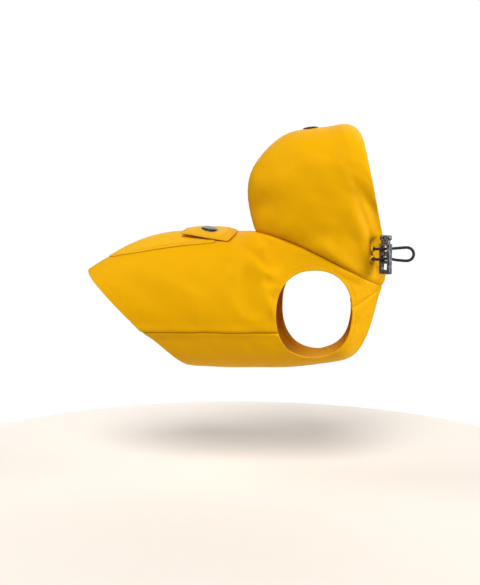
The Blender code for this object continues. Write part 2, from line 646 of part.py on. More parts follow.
def cord_lock():
    """A barrel with two round holes through its wide faces, a window below them and a deep socket,
    and a plunger whose slotted stem slides in the socket."""
    owner = bpy.data.objects.new("cord_lock", None)
    bpy.context.collection.objects.link(owner)
    owner.location = Vector((LOCK_X, LOCK_Y, 0)) * MM
    owner.rotation_euler = (0, 0, LOCK_TURN)

    def block(name, width, depth, top, bottom, **more):
        return box(name, (width, depth, top - bottom), (0, 0, (top + bottom) / 2), owner, **more)

    through = BARREL_DEPTH + 2 * CUT_OVERRUN
    barrel = block("lock_barrel", BARREL_WIDTH, BARREL_DEPTH, BARREL_TOP, BARREL_BOTTOM,
                   bevel=BARREL_ROUNDING, finish="metal")
    rims = [rod(f"rim_{row}", RIM_RADIUS, BARREL_DEPTH + 2 * RIM_RISE, height, owner)
            for row, height in enumerate(HOLE_HEIGHTS)]
    combine(barrel, "UNION", rims)
    holes = [rod(f"hole_{row}", HOLE_RADIUS, through, height, owner)
             for row, height in enumerate(HOLE_HEIGHTS)]
    window = block("window", WINDOW_WIDTH, through, WINDOW_TOP, WINDOW_BOTTOM)
    socket = block("socket", STEM_WIDTH + 2 * SLIDE_GAP, STEM_DEPTH + 2 * SLIDE_GAP,
                   BARREL_TOP + CUT_OVERRUN, SOCKET_BOTTOM)
    combine(barrel, "DIFFERENCE", holes + [window, socket])

    plunger = block("lock_plunger", HEAD_WIDTH, HEAD_DEPTH, HEAD_TOP, HEAD_BOTTOM,
                    bevel=HEAD_ROUNDING, finish="metal")
    stem = block("stem", STEM_WIDTH, STEM_DEPTH, (HEAD_TOP + HEAD_BOTTOM) / 2, STEM_BOTTOM)
    combine(plunger, "UNION", [stem])
    slot = block("stem_slot", STEM_SLOT_WIDTH, through, STEM_SLOT_TOP, STEM_SLOT_BOTTOM)
    eye = block("head_eye", HEAD_EYE_WIDTH, through, HEAD_EYE_TOP, HEAD_EYE_BOTTOM)
    combine(plunger, "DIFFERENCE", [slot, eye])


def eyelet_seat(height):
    """Where an eyelet sits on the hood's right side, and the direction out of the cloth there."""
    place = locate(HOOD_RINGS, [(EYELET_X, height)])
    points, normals = tube_points(HOOD_RINGS, *place.T), outward(HOOD_RINGS, *place.T)
    return (points + normals * hood_relief(points, place[:, 0], HOOD_FOLDS_RIGHT)[:, None])[0], normals[0]


def eyelet(name, height):
    point, normal = eyelet_seat(height)
    return turned(name, EYELET_PROFILE, point + REST_GAP * normal, normal, "enamel", segments=20)


def cord_route():
    """The route's own points: x, y, z. Each strand bends round beside the lock's near left corner,
    and the loop bends back at its tip."""
    upper, upper_out = eyelet_seat(HOLE_HEIGHTS[0])
    lower, lower_out = eyelet_seat(HOLE_HEIGHTS[1])

    def strand_bend(degrees, height):
        turn = math.radians(degrees)
        return (STRAND_BEND_X + STRAND_BEND_RADIUS * math.cos(turn),
                STRAND_BEND_Y + STRAND_BEND_RADIUS * math.sin(turn), height)

    def loop_bend(degrees):
        turn = math.radians(degrees)
        return (LOOP_BEND_X + LOOP_BEND_RADIUS * math.cos(turn), LOOP_Y,
                LOOP_BEND_Z + LOOP_BEND_RADIUS * math.sin(turn))

    middle = [
        strand_bend(-115, -14.1),
        strand_bend(-86, -14.2),
        strand_bend(-58, -14.2),
        (LOCK_X, LOCK_Y, -14.2),
        (150.2, -32.1, -14.2),
        (153.5, -30.3, -14.0),
        (157.0, -29.2, -13.8),
        (160.7, -28.6, -13.5),
        (164.2, -28.4, -13.2),
        *(loop_bend(degrees) for degrees in range(90, -91, -30)),
        (164.2, -28.4, -25.6),
        (160.7, -28.6, -25.3),
        (157.0, -29.2, -24.9),
        (153.5, -30.3, -24.2),
        (150.2, -32.1, -23.7),
        (LOCK_X, LOCK_Y, -23.5),
        strand_bend(-58, -23.6),
        strand_bend(-86, -23.9),
        (137.9, -37.45, -24.1),
        (135.8, -35.9, -23.9),
    ]
    return np.array([upper + 0.4 * upper_out, *middle, lower + 0.4 * lower_out], float)


def drawcord():
    """A tube along a smooth curve through the route, with points an even step apart."""
    route = cord_route()
    fine = smooth_rows(route, np.linspace(0, len(route) - 1, CURVE_SAMPLES))
    length = np.concatenate([[0], np.cumsum(np.linalg.norm(np.diff(fine, axis=0), axis=1))])
    count = int(round(length[-1] / CORD_STEP)) + 1
    even = np.stack([np.interp(np.linspace(0, length[-1], count), length, fine[:, k]) for k in range(3)], -1)
    data = bpy.data.curves.new("drawcord", "CURVE")
    data.dimensions = "3D"
    data.bevel_depth = CORD_RADIUS * MM
    data.bevel_resolution = 2
    data.use_fill_caps = True
    spline = data.splines.new("POLY")
    spline.points.add(count - 1)
    for point, place in zip(spline.points, even * MM):
        point.co = (*place, 1)
    data.materials.append(material("drawcord", "cord"))
    thing = bpy.data.objects.new("drawcord", data)
    bpy.context.collection.objects.link(thing)


def top_point(rings, x):
    """The place on a tube's top line at x, and the direction out of it. The hood's line turns back
    at the nape, so only its run forward of there is searched."""
    numbers = np.linspace(NAPE_END_RING, LAST_RING, CURVE_SAMPLES)
    number = numbers[np.abs(tube_points(rings, numbers, 0.0)[:, 0] - x).argmin()]
    return tube_points(rings, number, 0.0), outward(rings, number, 0.0)


def main():
    for old in list(bpy.data.objects):
        bpy.data.objects.remove(old)
    wall_object("back_panel", [(back_half(BODY_FOLDS_RIGHT), False),
                               (mirrored(back_half(BODY_FOLDS_LEFT)), True)], "cloth")
    wall_object("chest_panel", [(chest_half(BODY_FOLDS_RIGHT), False),
                                (mirrored(chest_half(BODY_FOLDS_LEFT)), True)], "cloth")
    wall_object("hood_right", [(hood_half(HOOD_FOLDS_RIGHT), False)], "cloth")
    wall_object("hood_left", [(mirrored(hood_half(HOOD_FOLDS_LEFT)), True)], "cloth")
    wall_object("pocket", [(pocket(), False)], "pocket")
    wall_object("pocket_flap", [(flap(), True)], "pocket")
    cap("hood_cap", *top_point(HOOD_RINGS, HOOD_CAP_X), HOOD_CAP_RADIUS)
    cap("flap_cap", *flap_cap_seat(), FLAP_CAP_RADIUS)
    for name, height in zip(("eyelet_upper", "eyelet_lower"), HOLE_HEIGHTS):
        eyelet(name, height)
    drawcord()
    cord_lock()


main()
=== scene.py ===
"""A dog's hooded raincoat: the finish of its cloth, pocket, studs, drawcord and cord lock.

The frame is in metres: +X points to the head, +Z up and -Y to the coat's right side, with the
origin inside the back over the withers. The tables below are in millimetres, as are the arrays
that the shapes are worked out in, and a mesh is turned into metres when it is made.
"""

import math
from collections import namedtuple

import bpy
import numpy as np
from bpy.props import FloatProperty, FloatVectorProperty, PointerProperty
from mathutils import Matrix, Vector


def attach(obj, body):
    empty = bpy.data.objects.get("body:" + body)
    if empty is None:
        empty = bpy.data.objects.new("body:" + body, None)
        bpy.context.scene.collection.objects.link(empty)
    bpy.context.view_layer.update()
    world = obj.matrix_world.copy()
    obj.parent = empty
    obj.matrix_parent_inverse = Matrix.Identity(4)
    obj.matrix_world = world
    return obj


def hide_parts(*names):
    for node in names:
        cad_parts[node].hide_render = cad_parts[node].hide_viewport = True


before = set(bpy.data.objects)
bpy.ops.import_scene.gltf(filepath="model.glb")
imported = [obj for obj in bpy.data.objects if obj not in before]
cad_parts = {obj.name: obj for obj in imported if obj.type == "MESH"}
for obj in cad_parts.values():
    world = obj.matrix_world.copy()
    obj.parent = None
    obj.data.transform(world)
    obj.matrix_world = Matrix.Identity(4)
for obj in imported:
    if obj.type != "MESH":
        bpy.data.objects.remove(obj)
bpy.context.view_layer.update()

bl_info = {
    "name": "Dog raincoat",
    "version": (1, 0, 0),
    "blender": (4, 5, 0),
    "location": "3D View > Sidebar > Raincoat",
    "description": "Makes the cloth, sewing, studs and drawcord of a dog's hooded raincoat",
    "category": "Object",
}

MM = 0.001
TURN, HALF_TURN = 2 * math.pi, math.pi
MIRROR = (1, -1, 1)

# ---------------------------------------------------------------------------------------------
# The coat's form: tubes of cloth through rings, with the armhole and the seams cut into them
# ---------------------------------------------------------------------------------------------

# top and bottom are the ends of a ring in the mid-plane. egg widens a ring's upper half, bow
# carries its sides back, or up where it is below 0, more so above the middle, and square fills its
# corners.
BOW_SKEW = 0.9
Ring = namedtuple("Ring", "top_x top_z bottom_x bottom_z half_width egg bow square")
BODY_RINGS = (
    Ring(-148, -37.0, -45.5, -134.0, 50.5, 0.00, -1.0, 0.02),
    Ring(-126, -23.6, -33, -135.0, 53.5, 0.00, -0.5, 0.03),
    Ring(-98, -12.6, -17.5, -135.5, 56.0, 0.00, 0.0, 0.03),
    Ring(-69, -5.6, 0, -135.8, 58.0, 0.00, 0.0, 0.03),
    Ring(-40.5, -1.8, 19, -135.4, 59.0, 0.00, 0.0, 0.03),
    Ring(-18, 0.2, 42.5, -134.3, 59.0, 0.00, 0.0, 0.03),
    Ring(-1, 1.6, 70.5, -132.0, 58.0, 0.00, 0.0, 0.03),
    Ring(9, 1.8, 97.5, -128.0, 56.5, 0.00, -0.5, 0.02),
    Ring(15, 1.8, 119, -120.5, 54.5, 0.00, -1.2, 0.01),
    Ring(18, 1.6, 133, -96.5, 52.0, 0.00, -2.0, 0.00),
    Ring(19.5, 1.6, 141, -68.0, 49.5, 0.00, -3.5, 0.00),
    Ring(20.5, 1.6, 145.5, -51.2, 47.5, 0.00, -4.8, 0.00),
)
HOOD_RINGS = (
    Ring(20.5, 1.6, 145.5, -51.2, 47.5, 0.00, -4.8, 0.00),
    Ring(16, 18, 146.6, -49.5, 51.0, 0.04, -3.2, 0.00),
    Ring(13.2, 36, 147.5, -48, 53.0, 0.08, -1.7, 0.00),
    Ring(14.6, 54, 148, -46.6, 54.0, 0.12, -0.6, 0.00),
    Ring(22, 70, 148.3, -45, 54.5, 0.14, 0.0, 0.00),
    Ring(36, 86, 148.6, -43, 54.5, 0.15, 0.0, 0.00),
    Ring(54, 97.7, 149, -41.2, 54.0, 0.15, 0.0, 0.00),
    Ring(75, 101.6, 147.6, -38.8, 52.0, 0.20, 0.0, 0.00),
    Ring(93.5, 103.6, 145.1, -36.5, 48.5, 0.27, 0.0, 0.00),
    Ring(109, 104.5, 144.5, -31.5, 45.0, 0.32, 0.0, 0.00),
    Ring(118.5, 100.5, 145.8, -26.5, 42.5, 0.36, 0.0, 0.00),
    Ring(124.3, 92.5, 148.7, -21, 40.5, 0.38, 0.0, 0.00),
)
LAST_RING = len(BODY_RINGS) - 1

# The armhole, seen from the side: a rounded upright oval. Its angles are counted from the front.
Oval = namedtuple("Oval", "centre_x centre_z half_length half_height roundness")
ARMHOLE = Oval(80.5, -77.0, 35.9, 42.7, 2.3)
ARMHOLE_SHOULDER = math.radians(7)
ARMHOLE_TOP_REAR = math.radians(125)
ARMHOLE_SIDE_SEAM = math.radians(200)
SIDE_SEAM_AT_HEM = math.radians(102.4)
SHOULDER_SEAM_AT_NECK = math.radians(171)
NAPE_START_RING = 5.3
BELLY_FRONT_RING = 5.0
SHOULDER_RING = 9.2

# The chest panel turns in under the side seam, deepest a little below it.
TUCK_DEPTH = 3.6
TUCK_REACH = 12.0
TUCK_FADE_START = 20.0
TUCK_FADE_END = 50.0

# Large soft folds, seen from the side: ridges have a height above 0 and troughs below it. They fade
# out towards the centre line, where the two sides join.
FOLD_FADE = 18.0
Fold = namedtuple("Fold", "from_x from_z from_width to_x to_z to_width height")
BODY_FOLDS = {
    "right": (
        Fold(-2, -26, 5, -22, -88, 15, -1.2),
        Fold(8, -24, 5, 14, -84, 13, 1.3),
        Fold(28, -20, 5, 40, -42, 8, -1.2),
        Fold(-60, -30, 9, -78, -70, 14, 0.9),
        Fold(-36, -104, 7, 30, -106, 6, 0.8),
        Fold(96, -116, 5, 122, -88, 6, -0.9),
    ),
    "left": (
        Fold(4, -22, 6, -12, -86, 14, -1.3),
        Fold(16, -26, 5, 24, -80, 11, 1.1),
        Fold(34, -18, 5, 44, -46, 7, -1.0),
        Fold(-70, -34, 10, -64, -76, 13, 0.9),
        Fold(-30, -108, 7, 22, -104, 6, 0.7),
        Fold(92, -118, 5, 118, -94, 6, -0.9),
    ),
}
HOOD_FOLDS = {
    "right": (
        Fold(26, 26, 7, 34, 52, 9, -1.3),
        Fold(52, 0, 6, 74, 30, 11, 1.0),
        Fold(98, -6, 5, 112, 34, 9, -1.1),
        Fold(60, 74, 12, 88, 62, 14, 0.9),
    ),
    "left": (
        Fold(30, 22, 7, 36, 50, 10, -1.2),
        Fold(58, -2, 6, 78, 34, 11, 1.0),
        Fold(94, -8, 5, 110, 28, 9, -1.0),
        Fold(54, 70, 12, 84, 66, 13, 0.8),
    ),
}

# Towards the neck seam the cloth loses its relief within NECK_REACH, and within NECK_TURN it turns
# to the direction that body and hood share. Both are complete NECK_EDGE before the seam.
NECK_REACH, NECK_TURN, NECK_EDGE = 9.0, 4.0, 0.3
NECK_STATIONS = 60

# The drawcord's tunnel takes up the hood's rings from this one on.
TUNNEL_RING = 8.0
TUNNEL_RISE = 0.8
TUNNEL_BLEND = 0.7
TUNNEL_FULLNESS = 0.35
TUNNEL_LAYER = 0.7
TUNNEL_GROOVE = 0.06
# Ripples beside the tunnel's stitches, which grow round the hood between two angles in degrees, and
# the angles between which the roll over the neck seam and that seam's depth fade
RIPPLE, GATHERED_RIPPLE, RIPPLE_REACH, GATHER_ANGLES = 0.10, 0.30, 9.0, (95, 150)
ROLL_FADE, ROLL_FADE_ANGLES = 0.8, (105, 140)

# Creases on top of the folds, seen from the side. Each runs along an arc that stands off its chord
# by sag, and has a lower crease of the other sign along one flank.
Crease = namedtuple("Crease", "from_x from_z to_x to_z sag width height")
CREASE_END_WIDTH = 0.55
FLANK_DISTANCE, FLANK_WIDTH, FLANK_HEIGHT = 2, 1.3, 0.4
BODY_CREASES = {
    "right": (
        Crease(2, -8, 46, -52, 3, 7.0, 2.9),
        Crease(30, -12, 50, -34, -2, 6.5, -2.6),
        Crease(14, -30, 28, -80, -4, 14.0, -4.0),
        Crease(31, -38, 48, -47, -2, 4.5, -2.5),
        Crease(30, -54, 43, -80, 2, 5.0, 1.5),
        Crease(-12, -62, 34, -94, -5, 8.0, -1.4),
        Crease(-44, -46, -26, -92, 3, 11.0, 1.5),
        Crease(-106, -42, -58, -78, 4, 11.0, -1.4),
        Crease(12, -104, 18, -124, 1, 4.0, 1.3),
        Crease(28, -102, 36, -122, -1, 3.5, -0.8),
        Crease(-22, -108, -10, -128, 1, 5.0, -0.6),
        Crease(108, -112, 130, -84, 3, 4.0, 0.5),
        Crease(96, -32, 128, -50, -2, 4.0, -0.5),
        Crease(118, -74, 134, -60, 1, 3.0, -0.4),
    ),
    "left": (
        Crease(6, -8, 44, -56, 4, 7.5, 2.6),
        Crease(26, -10, 50, -38, -2, 6.5, -2.3),
        Crease(8, -36, 24, -80, -4, 13.0, -3.4),
        Crease(32, -52, 43, -78, 2, 5.0, 1.4),
        Crease(-16, -64, 30, -92, -5, 8.0, -1.3),
        Crease(-50, -44, -36, -88, 3, 11.0, 1.4),
        Crease(-98, -46, -56, -82, 4, 11.0, -1.2),
        Crease(6, -105, 14, -125, 1, 4.5, 0.5),
        Crease(26, -104, 32, -124, -1, 3.5, -0.5),
        Crease(104, -114, 128, -88, 3, 4.0, 0.5),
        Crease(92, -30, 124, -48, -2, 4.0, -0.5),
    ),
}
HOOD_CREASES = {
    "right": (
        Crease(100, 84, 121, 38, -3, 7.0, 1.3),
        Crease(114, 52, 139, 10, 2, 5.5, -1.9),
        Crease(112, 26, 130, -12, 3, 7.0, 1.0),
        Crease(132, 2, 142, -44, 2, 5.0, -2.4),
        Crease(122, -8, 132, -34, 1, 3.5, 0.8),
        Crease(40, 2, 66, 22, 4, 6.0, -0.3),
        Crease(22, 66, 44, 84, -3, 7.0, 0.6),
        Crease(64, -14, 106, 2, 4, 8.0, -1.3),
        Crease(50, 30, 66, 66, 3, 11.0, 1.6),
        Crease(84, 84, 108, 70, 2, 6.0, -0.6),
    ),
    "left": (
        Crease(98, 80, 119, 36, -3, 7.0, 1.2),
        Crease(112, 48, 136, 8, 2, 5.5, -2.4),
        Crease(110, 22, 128, -14, 3, 7.0, 1.0),
        Crease(130, 0, 140, -42, 2, 5.0, -2.0),
        Crease(44, 4, 70, 26, 4, 6.0, -0.3),
        Crease(24, 60, 46, 80, -3, 7.0, 0.6),
        Crease(68, -12, 104, 4, 4, 8.0, -1.6),
        Crease(54, 34, 68, 68, 3, 11.0, 1.4),
        Crease(80, 86, 106, 74, 2, 6.0, -0.6),
    ),
}

# Round hollows, seen from the side
Dent = namedtuple("Dent", "x z radius depth")
HOOD_DENTS = {"right": (Dent(32, 28, 15, 5.0),), "left": (Dent(36, 27, 15, 4.2),)}

# Pocket and flap, which sit turned round the coat towards its right side
TWIST = math.radians(8)
TWIST_CENTRE_Z = -59.0
POCKET_REAR_RING = 1.0
POCKET_FULL_RING = 3.2
POCKET_MOUTH_RING = 4.9
POCKET_HALF_ANGLE = math.radians(25)
POCKET_ROUNDNESS = 2.1
POCKET_RISE = 4.1
POCKET_RISE_POWER = 1.5
POCKET_MOUTH_RISE = 0.3
POCKET_STRAIGHT, POCKET_WIDTH, POCKET_END_ROWS = 47, 50, 40
POCKET_OFFSET, POCKET_SLACK = 0.95, 0.5
# Ridges along the pocket: wavelength, height, drift sideways on the way to its mouth, and start
POCKET_RIDGES = ((8.7, 0.16, 0.04, 0), (5.1, 0.12, -0.03, 2))
FLAP_SEAM_RING = 6.33
FLAP_SEAM_SWEEP = 0.8
FLAP_HALF_ANGLE = math.radians(25)
FLAP_REAR_X = -48.0
FLAP_REAR_SKEW = 2.0
FLAP_REAR_TWIST = math.radians(3.5)
FLAP_HALF_WIDTH = 26.0
FLAP_CROWN = (5.5, 5.7, -6.7)
FLAP_DROP_REAR = 2.1
FLAP_DROP_SEAM = 9.6
FLAP_SEAM_LIFT = 1.6
FLAP_LENGTH, FLAP_WIDTH, FLAP_FLAT = 46, 50, (50, 26.5)
FLAP_FULLNESS = 0.25
SEAM_ROW_GAP = 5.5
FLAP_CAP_X = -24.0
FLAP_CAP_ACROSS = 0.25
FLAP_CAP_LEAN = math.radians(9)
FLAP_CAP_DIP = 1.6
FLAP_CAP_REACH = 13.5

# Cord lock and drawcord
LOCK_X, LOCK_Y = 147.1, -34.5
HOLE_HEIGHTS = (-14.2, -23.5)
EYELET_X = 134.5
CORD_RADIUS = 1.35
CORD_START = 0.4
CORD_FINE_STATIONS, CORD_STATIONS = 3000, 260
STRAND_BEND_X, STRAND_BEND_Y, STRAND_BEND_RADIUS = 140.4, -31.4, 6.8
LOOP_BEND_X, LOOP_BEND_Z, LOOP_BEND_RADIUS, LOOP_Y = 167.6, -19.4, 6.3, -28.4

# Steps of the cloth's grids: the usual one, and the first one beside an edge or a seam
GRID_STEP, EDGE_STEP, SEAM_STEP = 1.9, 0.12, 0.15
# How long the stretches of the panels' grids are: along the side seam, over the armhole's rear,
# over its front to the neck, under it, and along the shoulder seam; then across the panels and
# round half the hood, and along the hood before its tunnel and within it
SIDE_LENGTH, REAR_LENGTH, NECK_LENGTH, LOW_LENGTH, SHOULDER_LENGTH = 133, 46, 150, 118, 30
BACK_GIRTH, CHEST_GIRTH, HOOD_GIRTH = 118, 62, 175
HOOD_LENGTH, TUNNEL_LENGTH = 125, 27

# Seeds and sizes of the cloth's slow waves
WAVES = 9
BODY_SEEDS, BODY_WAVE = {"right": 7, "left": 8}, 26
HOOD_SEEDS, HOOD_WAVE = {"right": 11, "left": 12}, 24
FLAP_SEED, FLAP_WAVE, FLAP_UNEVENNESS = 21, 17, 0.10

# How far a hem's band stands up and thickens the cloth, and how deep its row of stitches lies
BAND_RISE, BAND_THICKNESS, HEM_GROOVE = 0.10, 0.5, 0.14
# From where to where the band falls off, counted from its row of stitches, and how far puckers reach
# from the row as a share of the hem's depth
BAND_FALL, PUCKER_SHARE = (-0.6, 0.9), 0.55
# Beside a seam, where the turned-in edge's lip rises and where it falls, and the same for the
# cloth's added thickness, which is a share of the cloth's own
LIP_RISE, LIP_FALL, LAP_FALL, LAP_THICKNESS = (0.4, 2.6), (5.5, 8.5), (5.0, 7.0), 0.8
# Half widths of the grooves of two kinds of rows, of a seam's valley and of the line of painted shade
# in it
HEM_ROW, EDGE_ROW, VALLEY, VALLEY_SHADE = 0.8, 0.7, 1.3, 0.9
# Ripples beside rows of stitches: wavelength, height and start, which is COSINE at a crest
COSINE = HALF_TURN / 2
HEM_PUCKERS = ((7.3, 1.0, COSINE), (4.9, 0.6, COSINE + 1))
SEAM_PUCKERS = ((8.1, 0.35, COSINE), (5.3, 0.25, COSINE))
TUNNEL_PUCKERS = ((5.6, 1.0, 0), (9.7, 0.5, 0))
# How much of its rounding a rim goes through before it ends as a narrow flat
RIM_SHARE = 0.85


def smooth_rows(rows, number):
    """The columns of a table at any row number: a natural cubic through every row."""
    values = np.array(rows, float)
    count = len(values)
    system = np.eye(count)
    pull = np.zeros_like(values)
    for row in range(1, count - 1):
        system[row, row - 1 : row + 2] = 1, 4, 1
        pull[row] = 6 * (values[row - 1] - 2 * values[row] + values[row + 1])
    bend = np.linalg.solve(system, pull)
    low = np.clip(np.floor(number).astype(int), 0, count - 2)
    after = (number - low)[..., None]
    before = 1 - after
    straight = before * values[low] + after * values[low + 1]
    return straight + ((before**3 - before) * bend[low] + (after**3 - after) * bend[low + 1]) / 6


def tube_points(rings, number, angle):
    """Points on a tube of cloth. number runs along the rings, and angle round them, from 0 at the
    top to half a turn at the bottom, positive on the right side. A point is the ring's middle, plus
    the cosine of the angle along its height and the sine along its width, both swollen by square
    times the squared sine of twice the angle."""
    number, angle = np.broadcast_arrays(np.asarray(number, float), np.asarray(angle, float))
    columns = np.moveaxis(smooth_rows(rings, number), -1, 0)
    top_x, top_z, bottom_x, bottom_z, half_width, egg, bow, square = columns
    half_x, half_z = (top_x - bottom_x) / 2, (top_z - bottom_z) / 2
    half = np.hypot(half_x, half_z)
    cosine, sine = np.cos(angle), np.sin(angle)
    swell = 1 + square * np.sin(2 * angle) ** 2
    back = bow * sine**2 * (1 + BOW_SKEW * cosine) / half
    x = (top_x + bottom_x) / 2 + swell * cosine * half_x - back * half_z
    z = (top_z + bottom_z) / 2 + swell * cosine * half_z + back * half_x
    y = -swell * half_width * sine * (1 + egg * cosine)
    return np.stack([x, y, z], -1)


def unit(vectors):
    return vectors / np.linalg.norm(vectors, axis=-1, keepdims=True)


def lengths_along(line):
    """How far each point of a line is from its first one, along the line."""
    return np.concatenate([[0], np.cumsum(np.linalg.norm(np.diff(line, axis=0), axis=1))])


def read_at(places, lengths, values):
    """Three columns of values, which belong to the given lengths, read at places between them."""
    return np.stack([np.interp(places, lengths, values[:, axis]) for axis in range(3)], -1)


def outward(rings, number, angle, step=0.01):
    """Directions out of a tube: its slope round the rings crossed with its slope along them."""
    along = tube_points(rings, number + step, angle) - tube_points(rings, number - step, angle)
    round_it = tube_points(rings, number, angle + step) - tube_points(rings, number, angle - step)
    return unit(np.cross(round_it, along))


def surface(rings, number, angle):
    """Points on a tube and the directions out of it."""
    return tube_points(rings, number, angle), outward(rings, number, angle)


def armhole_outline(angle):
    """A superellipse in the side view."""
    power = 2 / ARMHOLE.roundness
    cosine, sine = np.cos(angle), np.sin(angle)
    x = ARMHOLE.centre_x + ARMHOLE.half_length * np.sign(cosine) * np.abs(cosine) ** power
    z = ARMHOLE.centre_z + ARMHOLE.half_height * np.sign(sine) * np.abs(sine) ** power
    return np.stack([x, z], -1)


def locate(rings, targets, tries=25, step=1e-4, margin=0.05, longest=0.4):
    """Rings and angles of the right-hand points that the side view shows at targets, by Newton's
    method from the nearest point of a coarse grid. Slopes are taken over a small step, and no move
    is longer than the longest."""
    turns = np.linspace(margin, HALF_TURN - margin, 60)
    number, angle = np.meshgrid(np.linspace(0, LAST_RING, 45), turns)
    coarse = tube_points(rings, number, angle)[..., [0, 2]].reshape(-1, 2)
    targets = np.asarray(targets, float)
    nearest = np.linalg.norm(coarse[None] - targets[:, None], axis=-1).argmin(1)
    places = np.stack([number.ravel()[nearest], angle.ravel()[nearest]], -1)
    for _ in range(tries):
        here = tube_points(rings, places[:, 0], places[:, 1])[:, [0, 2]]
        by_number = tube_points(rings, places[:, 0] + step, places[:, 1])[:, [0, 2]] - here
        by_angle = tube_points(rings, places[:, 0], places[:, 1] + step)[:, [0, 2]] - here
        slopes = np.stack([by_number, by_angle], -1) / step
        change = np.linalg.solve(slopes, (targets - here)[..., None])[..., 0]
        places += np.clip(change, -longest, longest)
    return places


def fold_height(points, folds):
    """How far folds raise points. A fold is a round-backed ridge or trough along a straight line
    in the side view: its height times a bell of the distance from the line over its width."""
    height = np.zeros(points.shape[:-1])
    for fold in folds:
        run = np.array([fold.to_x - fold.from_x, fold.to_z - fold.from_z])
        offset = points[..., [0, 2]] - (fold.from_x, fold.from_z)
        along = np.clip(offset @ run / (run @ run), 0, 1)
        away = np.linalg.norm(offset - along[..., None] * run, axis=-1)
        width = fold.from_width + along * (fold.to_width - fold.from_width)
        height += fold.height * bell(away, width)
    return height * centre_fade(points)


def centre_fade(points):
    """0 on the centre line, rising as the square of the distance from it to 1."""
    return np.clip(np.abs(points[..., 1]) / FOLD_FADE, 0, 1) ** 2


def crease_height(points, creases):
    """How far creases raise points. Across its arc a crease is a bell, less a lower and wider bell
    on one flank. Along it, it is widest in the middle and dies away at both ends."""
    height = np.zeros(points.shape[:-1])
    for crease in creases:
        run = np.array([crease.to_x - crease.from_x, crease.to_z - crease.from_z])
        length = np.hypot(*run)
        offset = points[..., [0, 2]] - (crease.from_x, crease.from_z)
        share = offset @ run / length**2
        across = (offset[..., 0] * -run[1] + offset[..., 1] * run[0]) / length
        inside = np.clip(4 * share * (1 - share), 0, 1)
        across = across - crease.sag * inside
        width = crease.width * (CREASE_END_WIDTH + (1 - CREASE_END_WIDTH) * inside)
        beside = across - math.copysign(FLANK_DISTANCE, crease.sag) * width
        shape = bell(across, width) - FLANK_HEIGHT * bell(beside, width * FLANK_WIDTH)
        height += crease.height * inside * shape
    return height * centre_fade(points)


def dent_height(points, dents):
    """How far dents lower points: each is a bell of the distance from its middle."""
    height = np.zeros(points.shape[:-1])
    for dent in dents:
        away = np.hypot(points[..., 0] - dent.x, points[..., 2] - dent.z)
        height -= dent.depth * bell(away, dent.radius)
    return height * centre_fade(points)


def unevenness(flat, size, height, seed):
    """Low random waves of the cloth: sines of its flat place, in fixed random directions and with
    wavelengths from 0.7 to 1.6 times size."""
    chance = np.random.default_rng(seed)
    turn = chance.uniform(0, HALF_TURN, WAVES)
    wavelength = size * chance.uniform(0.7, 1.6, WAVES)
    start = chance.uniform(0, TURN, WAVES)
    wave = flat[..., :1] * np.cos(turn) + flat[..., 1:] * np.sin(turn)
    return height * np.sin(wave * TURN / wavelength + start).sum(-1) / math.sqrt(WAVES)


def body_relief(points, side):
    """Folds, creases, and the chest panel's tuck: a dip below the side seam that fades out by the
    armhole."""
    seam = tube_points(BODY_RINGS, 0, SIDE_SEAM_AT_HEM)
    end = armhole_outline(ARMHOLE_SIDE_SEAM)
    seam_z = seam[2] + (points[..., 0] - seam[0]) * (end[1] - seam[2]) / (end[0] - seam[0])
    below = np.maximum(seam_z - points[..., 2], 0) / TUCK_REACH
    fade = np.clip((TUCK_FADE_END - points[..., 0]) / (TUCK_FADE_END - TUCK_FADE_START), 0, 1)
    tuck = TUCK_DEPTH * fade * below * np.exp(1 - below)
    folded = fold_height(points, BODY_FOLDS[side]) + crease_height(points, BODY_CREASES[side])
    return folded - tuck


# ---------------------------------------------------------------------------------------------
# Cloth: grids of points with the effects of their hems and seams
# ---------------------------------------------------------------------------------------------


def graded(length, usual=GRID_STEP, near=None, far=None, growth=1.5):
    """Shares of a length, in steps of the usual size that start small at near or end small at far,
    where each step is growth times the one nearer to the end."""

    def growing(first):
        sizes = []
        while first and first < usual:
            sizes.append(first)
            first *= growth
        return sizes

    start, end = growing(near), growing(far)
    middle = max(length - sum(start) - sum(end), usual)
    count = max(round(middle / usual), 1)
    steps = np.array(start + [middle / count] * count + end[::-1])
    return np.concatenate([[0], np.cumsum(steps) / steps.sum()])


def run(start, end, share):
    """Places from start to end at the given shares."""
    start, end = np.array(start, float), np.array(end, float)
    return start + share[:, None] * (end - start)


def joined(*runs):
    """Runs of places end to end, each run's first place being the last one's end."""
    return np.concatenate([runs[0]] + [part[1:] for part in runs[1:]])


def ruled(first_side, second_side, share):
    """A grid of places on straight lines from one side of a panel to the other."""
    share = share[None, :, None]
    return first_side[:, None] * (1 - share) + second_side[:, None] * share


def edge_distance(points, line, filling=5):
    """How far each point is from a line of points that is filled in to several times as many, and
    how far along the line its nearest point lies."""
    dense = read_at(np.linspace(0, len(line) - 1, filling * len(line)), np.arange(len(line)), line)
    length = lengths_along(dense)
    away, along = np.empty(points.shape[:-1]), np.empty(points.shape[:-1])
    for row, block in enumerate(points):
        gap = np.linalg.norm(block[:, None] - dense[None], axis=-1)
        away[row] = gap.min(1)
        along[row] = length[gap.argmin(1)]
    return away, along


